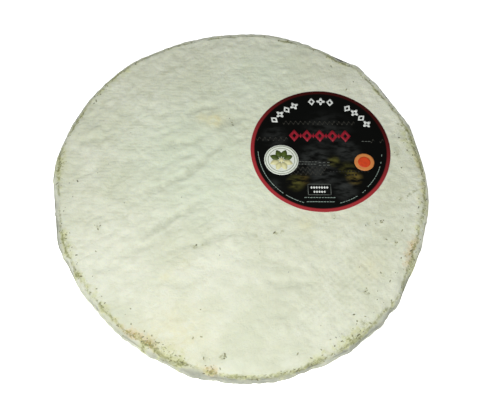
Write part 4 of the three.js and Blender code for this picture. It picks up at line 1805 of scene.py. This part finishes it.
def aimed(thing, place, aim):
    """Stands a light or a camera at a place, looking at a point, both given in millimetres."""
    place, aim = [Vector([axis * MM for axis in point]) for point in (place, aim)]
    thing.location = place
    thing.rotation_euler = (aim - place).to_track_quat("-Z", "Y").to_euler()


def floor_material(glow):
    """Matt white table top that glows faintly, so that it takes only a pale shadow."""
    material, tree, own = new_material("lit_table_top")
    uneven = add(tree, "ShaderNodeTexNoise", {"Vector": own, "Scale": 2.0, "Detail": 2.0})
    white = linear(FLOOR_COLOUR)
    darker = (*[channel * 0.985 for channel in white], 1)
    inputs = {
        "Base Color": tinted(tree, (*white, 1), darker, uneven),
        "Roughness": 0.9,
        "Specular IOR Level": 0.1,
        "Emission Color": (1, 1, 1, 1),
        "Emission Strength": glow,
    }
    return surfaced(material, inputs)


def area_light(name, place, width, power):
    """A square soft light aimed at the wheel."""
    light = bpy.data.lights.new(name, "AREA")
    light.size = width * MM
    light.energy = power
    aimed(placed(name, light), place, (0, 0, 0))


class CHEESE_OT_stage(Operator):
    """Set up the pale floor, the soft lights and the camera"""

    bl_idname = "cheese_wheel.stage"
    bl_label = "Floor, lights and camera"

    def execute(self, context):
        scene = context.scene
        settings = scene.stage_settings
        half = settings.floor_width / MM / 2
        corners = [(-half, -half, 0), (half, -half, 0), (half, half, 0), (-half, half, 0)]
        mesh = mesh_of("floor", corners, [(0, 1, 2, 3)])
        mesh.materials.append(floor_material(settings.table_glow))
        placed("floor", mesh)

        area_light("key", KEY_PLACE, KEY_WIDTH, settings.key_power)
        world = bpy.data.worlds.new("sky")
        world.use_nodes = True
        background = world.node_tree.nodes["Background"]
        background.inputs["Color"].default_value = (*linear(SKY_COLOUR), 1)
        background.inputs["Strength"].default_value = settings.sky
        scene.world = world
        scene.view_settings.view_transform = "Standard"

        camera = placed("camera", bpy.data.cameras.new("camera"))
        camera.data.lens = CAMERA_LENS
        aimed(camera, CAMERA_PLACE, CAMERA_AIM)
        scene.camera = camera
        return {"FINISHED"}


# ---------------------------------------------------------------- the add-on


class CHEESE_PT_panel(Panel):
    """Lists the operators, and the settings that they read"""

    bl_label = "Cheese wheel"
    bl_idname = "CHEESE_PT_panel"
    bl_space_type = "VIEW_3D"
    bl_region_type = "UI"
    bl_category = "Cheese wheel"

    def draw(self, context):
        for operator in OPERATORS:
            self.layout.operator(operator.bl_idname)
        for name, group in SETTINGS.items():
            box = self.layout.box()
            box.label(text=group.__doc__)
            for item in group.__annotations__:
                box.prop(getattr(context.scene, name), item)


OPERATORS = [CHEESE_OT_rind, CHEESE_OT_flecks, CHEESE_OT_label, CHEESE_OT_print, CHEESE_OT_stage]
CLASSES = [*SETTINGS.values(), *OPERATORS, CHEESE_PT_panel]


def register():
    """Adds the settings, the operators and the panel to Blender."""
    for cls in CLASSES:
        bpy.utils.register_class(cls)
    for name, group in SETTINGS.items():
        setattr(bpy.types.Scene, name, PointerProperty(type=group))


def unregister():
    """Takes them out again."""
    for name in SETTINGS:
        delattr(bpy.types.Scene, name)
    for cls in reversed(CLASSES):
        bpy.utils.unregister_class(cls)


def main():
    """Builds the whole scene."""
    register()
    for operator in OPERATORS:
        group, name = operator.bl_idname.split(".")
        getattr(getattr(bpy.ops, group), name)()


if __name__ == "__main__":
    main()
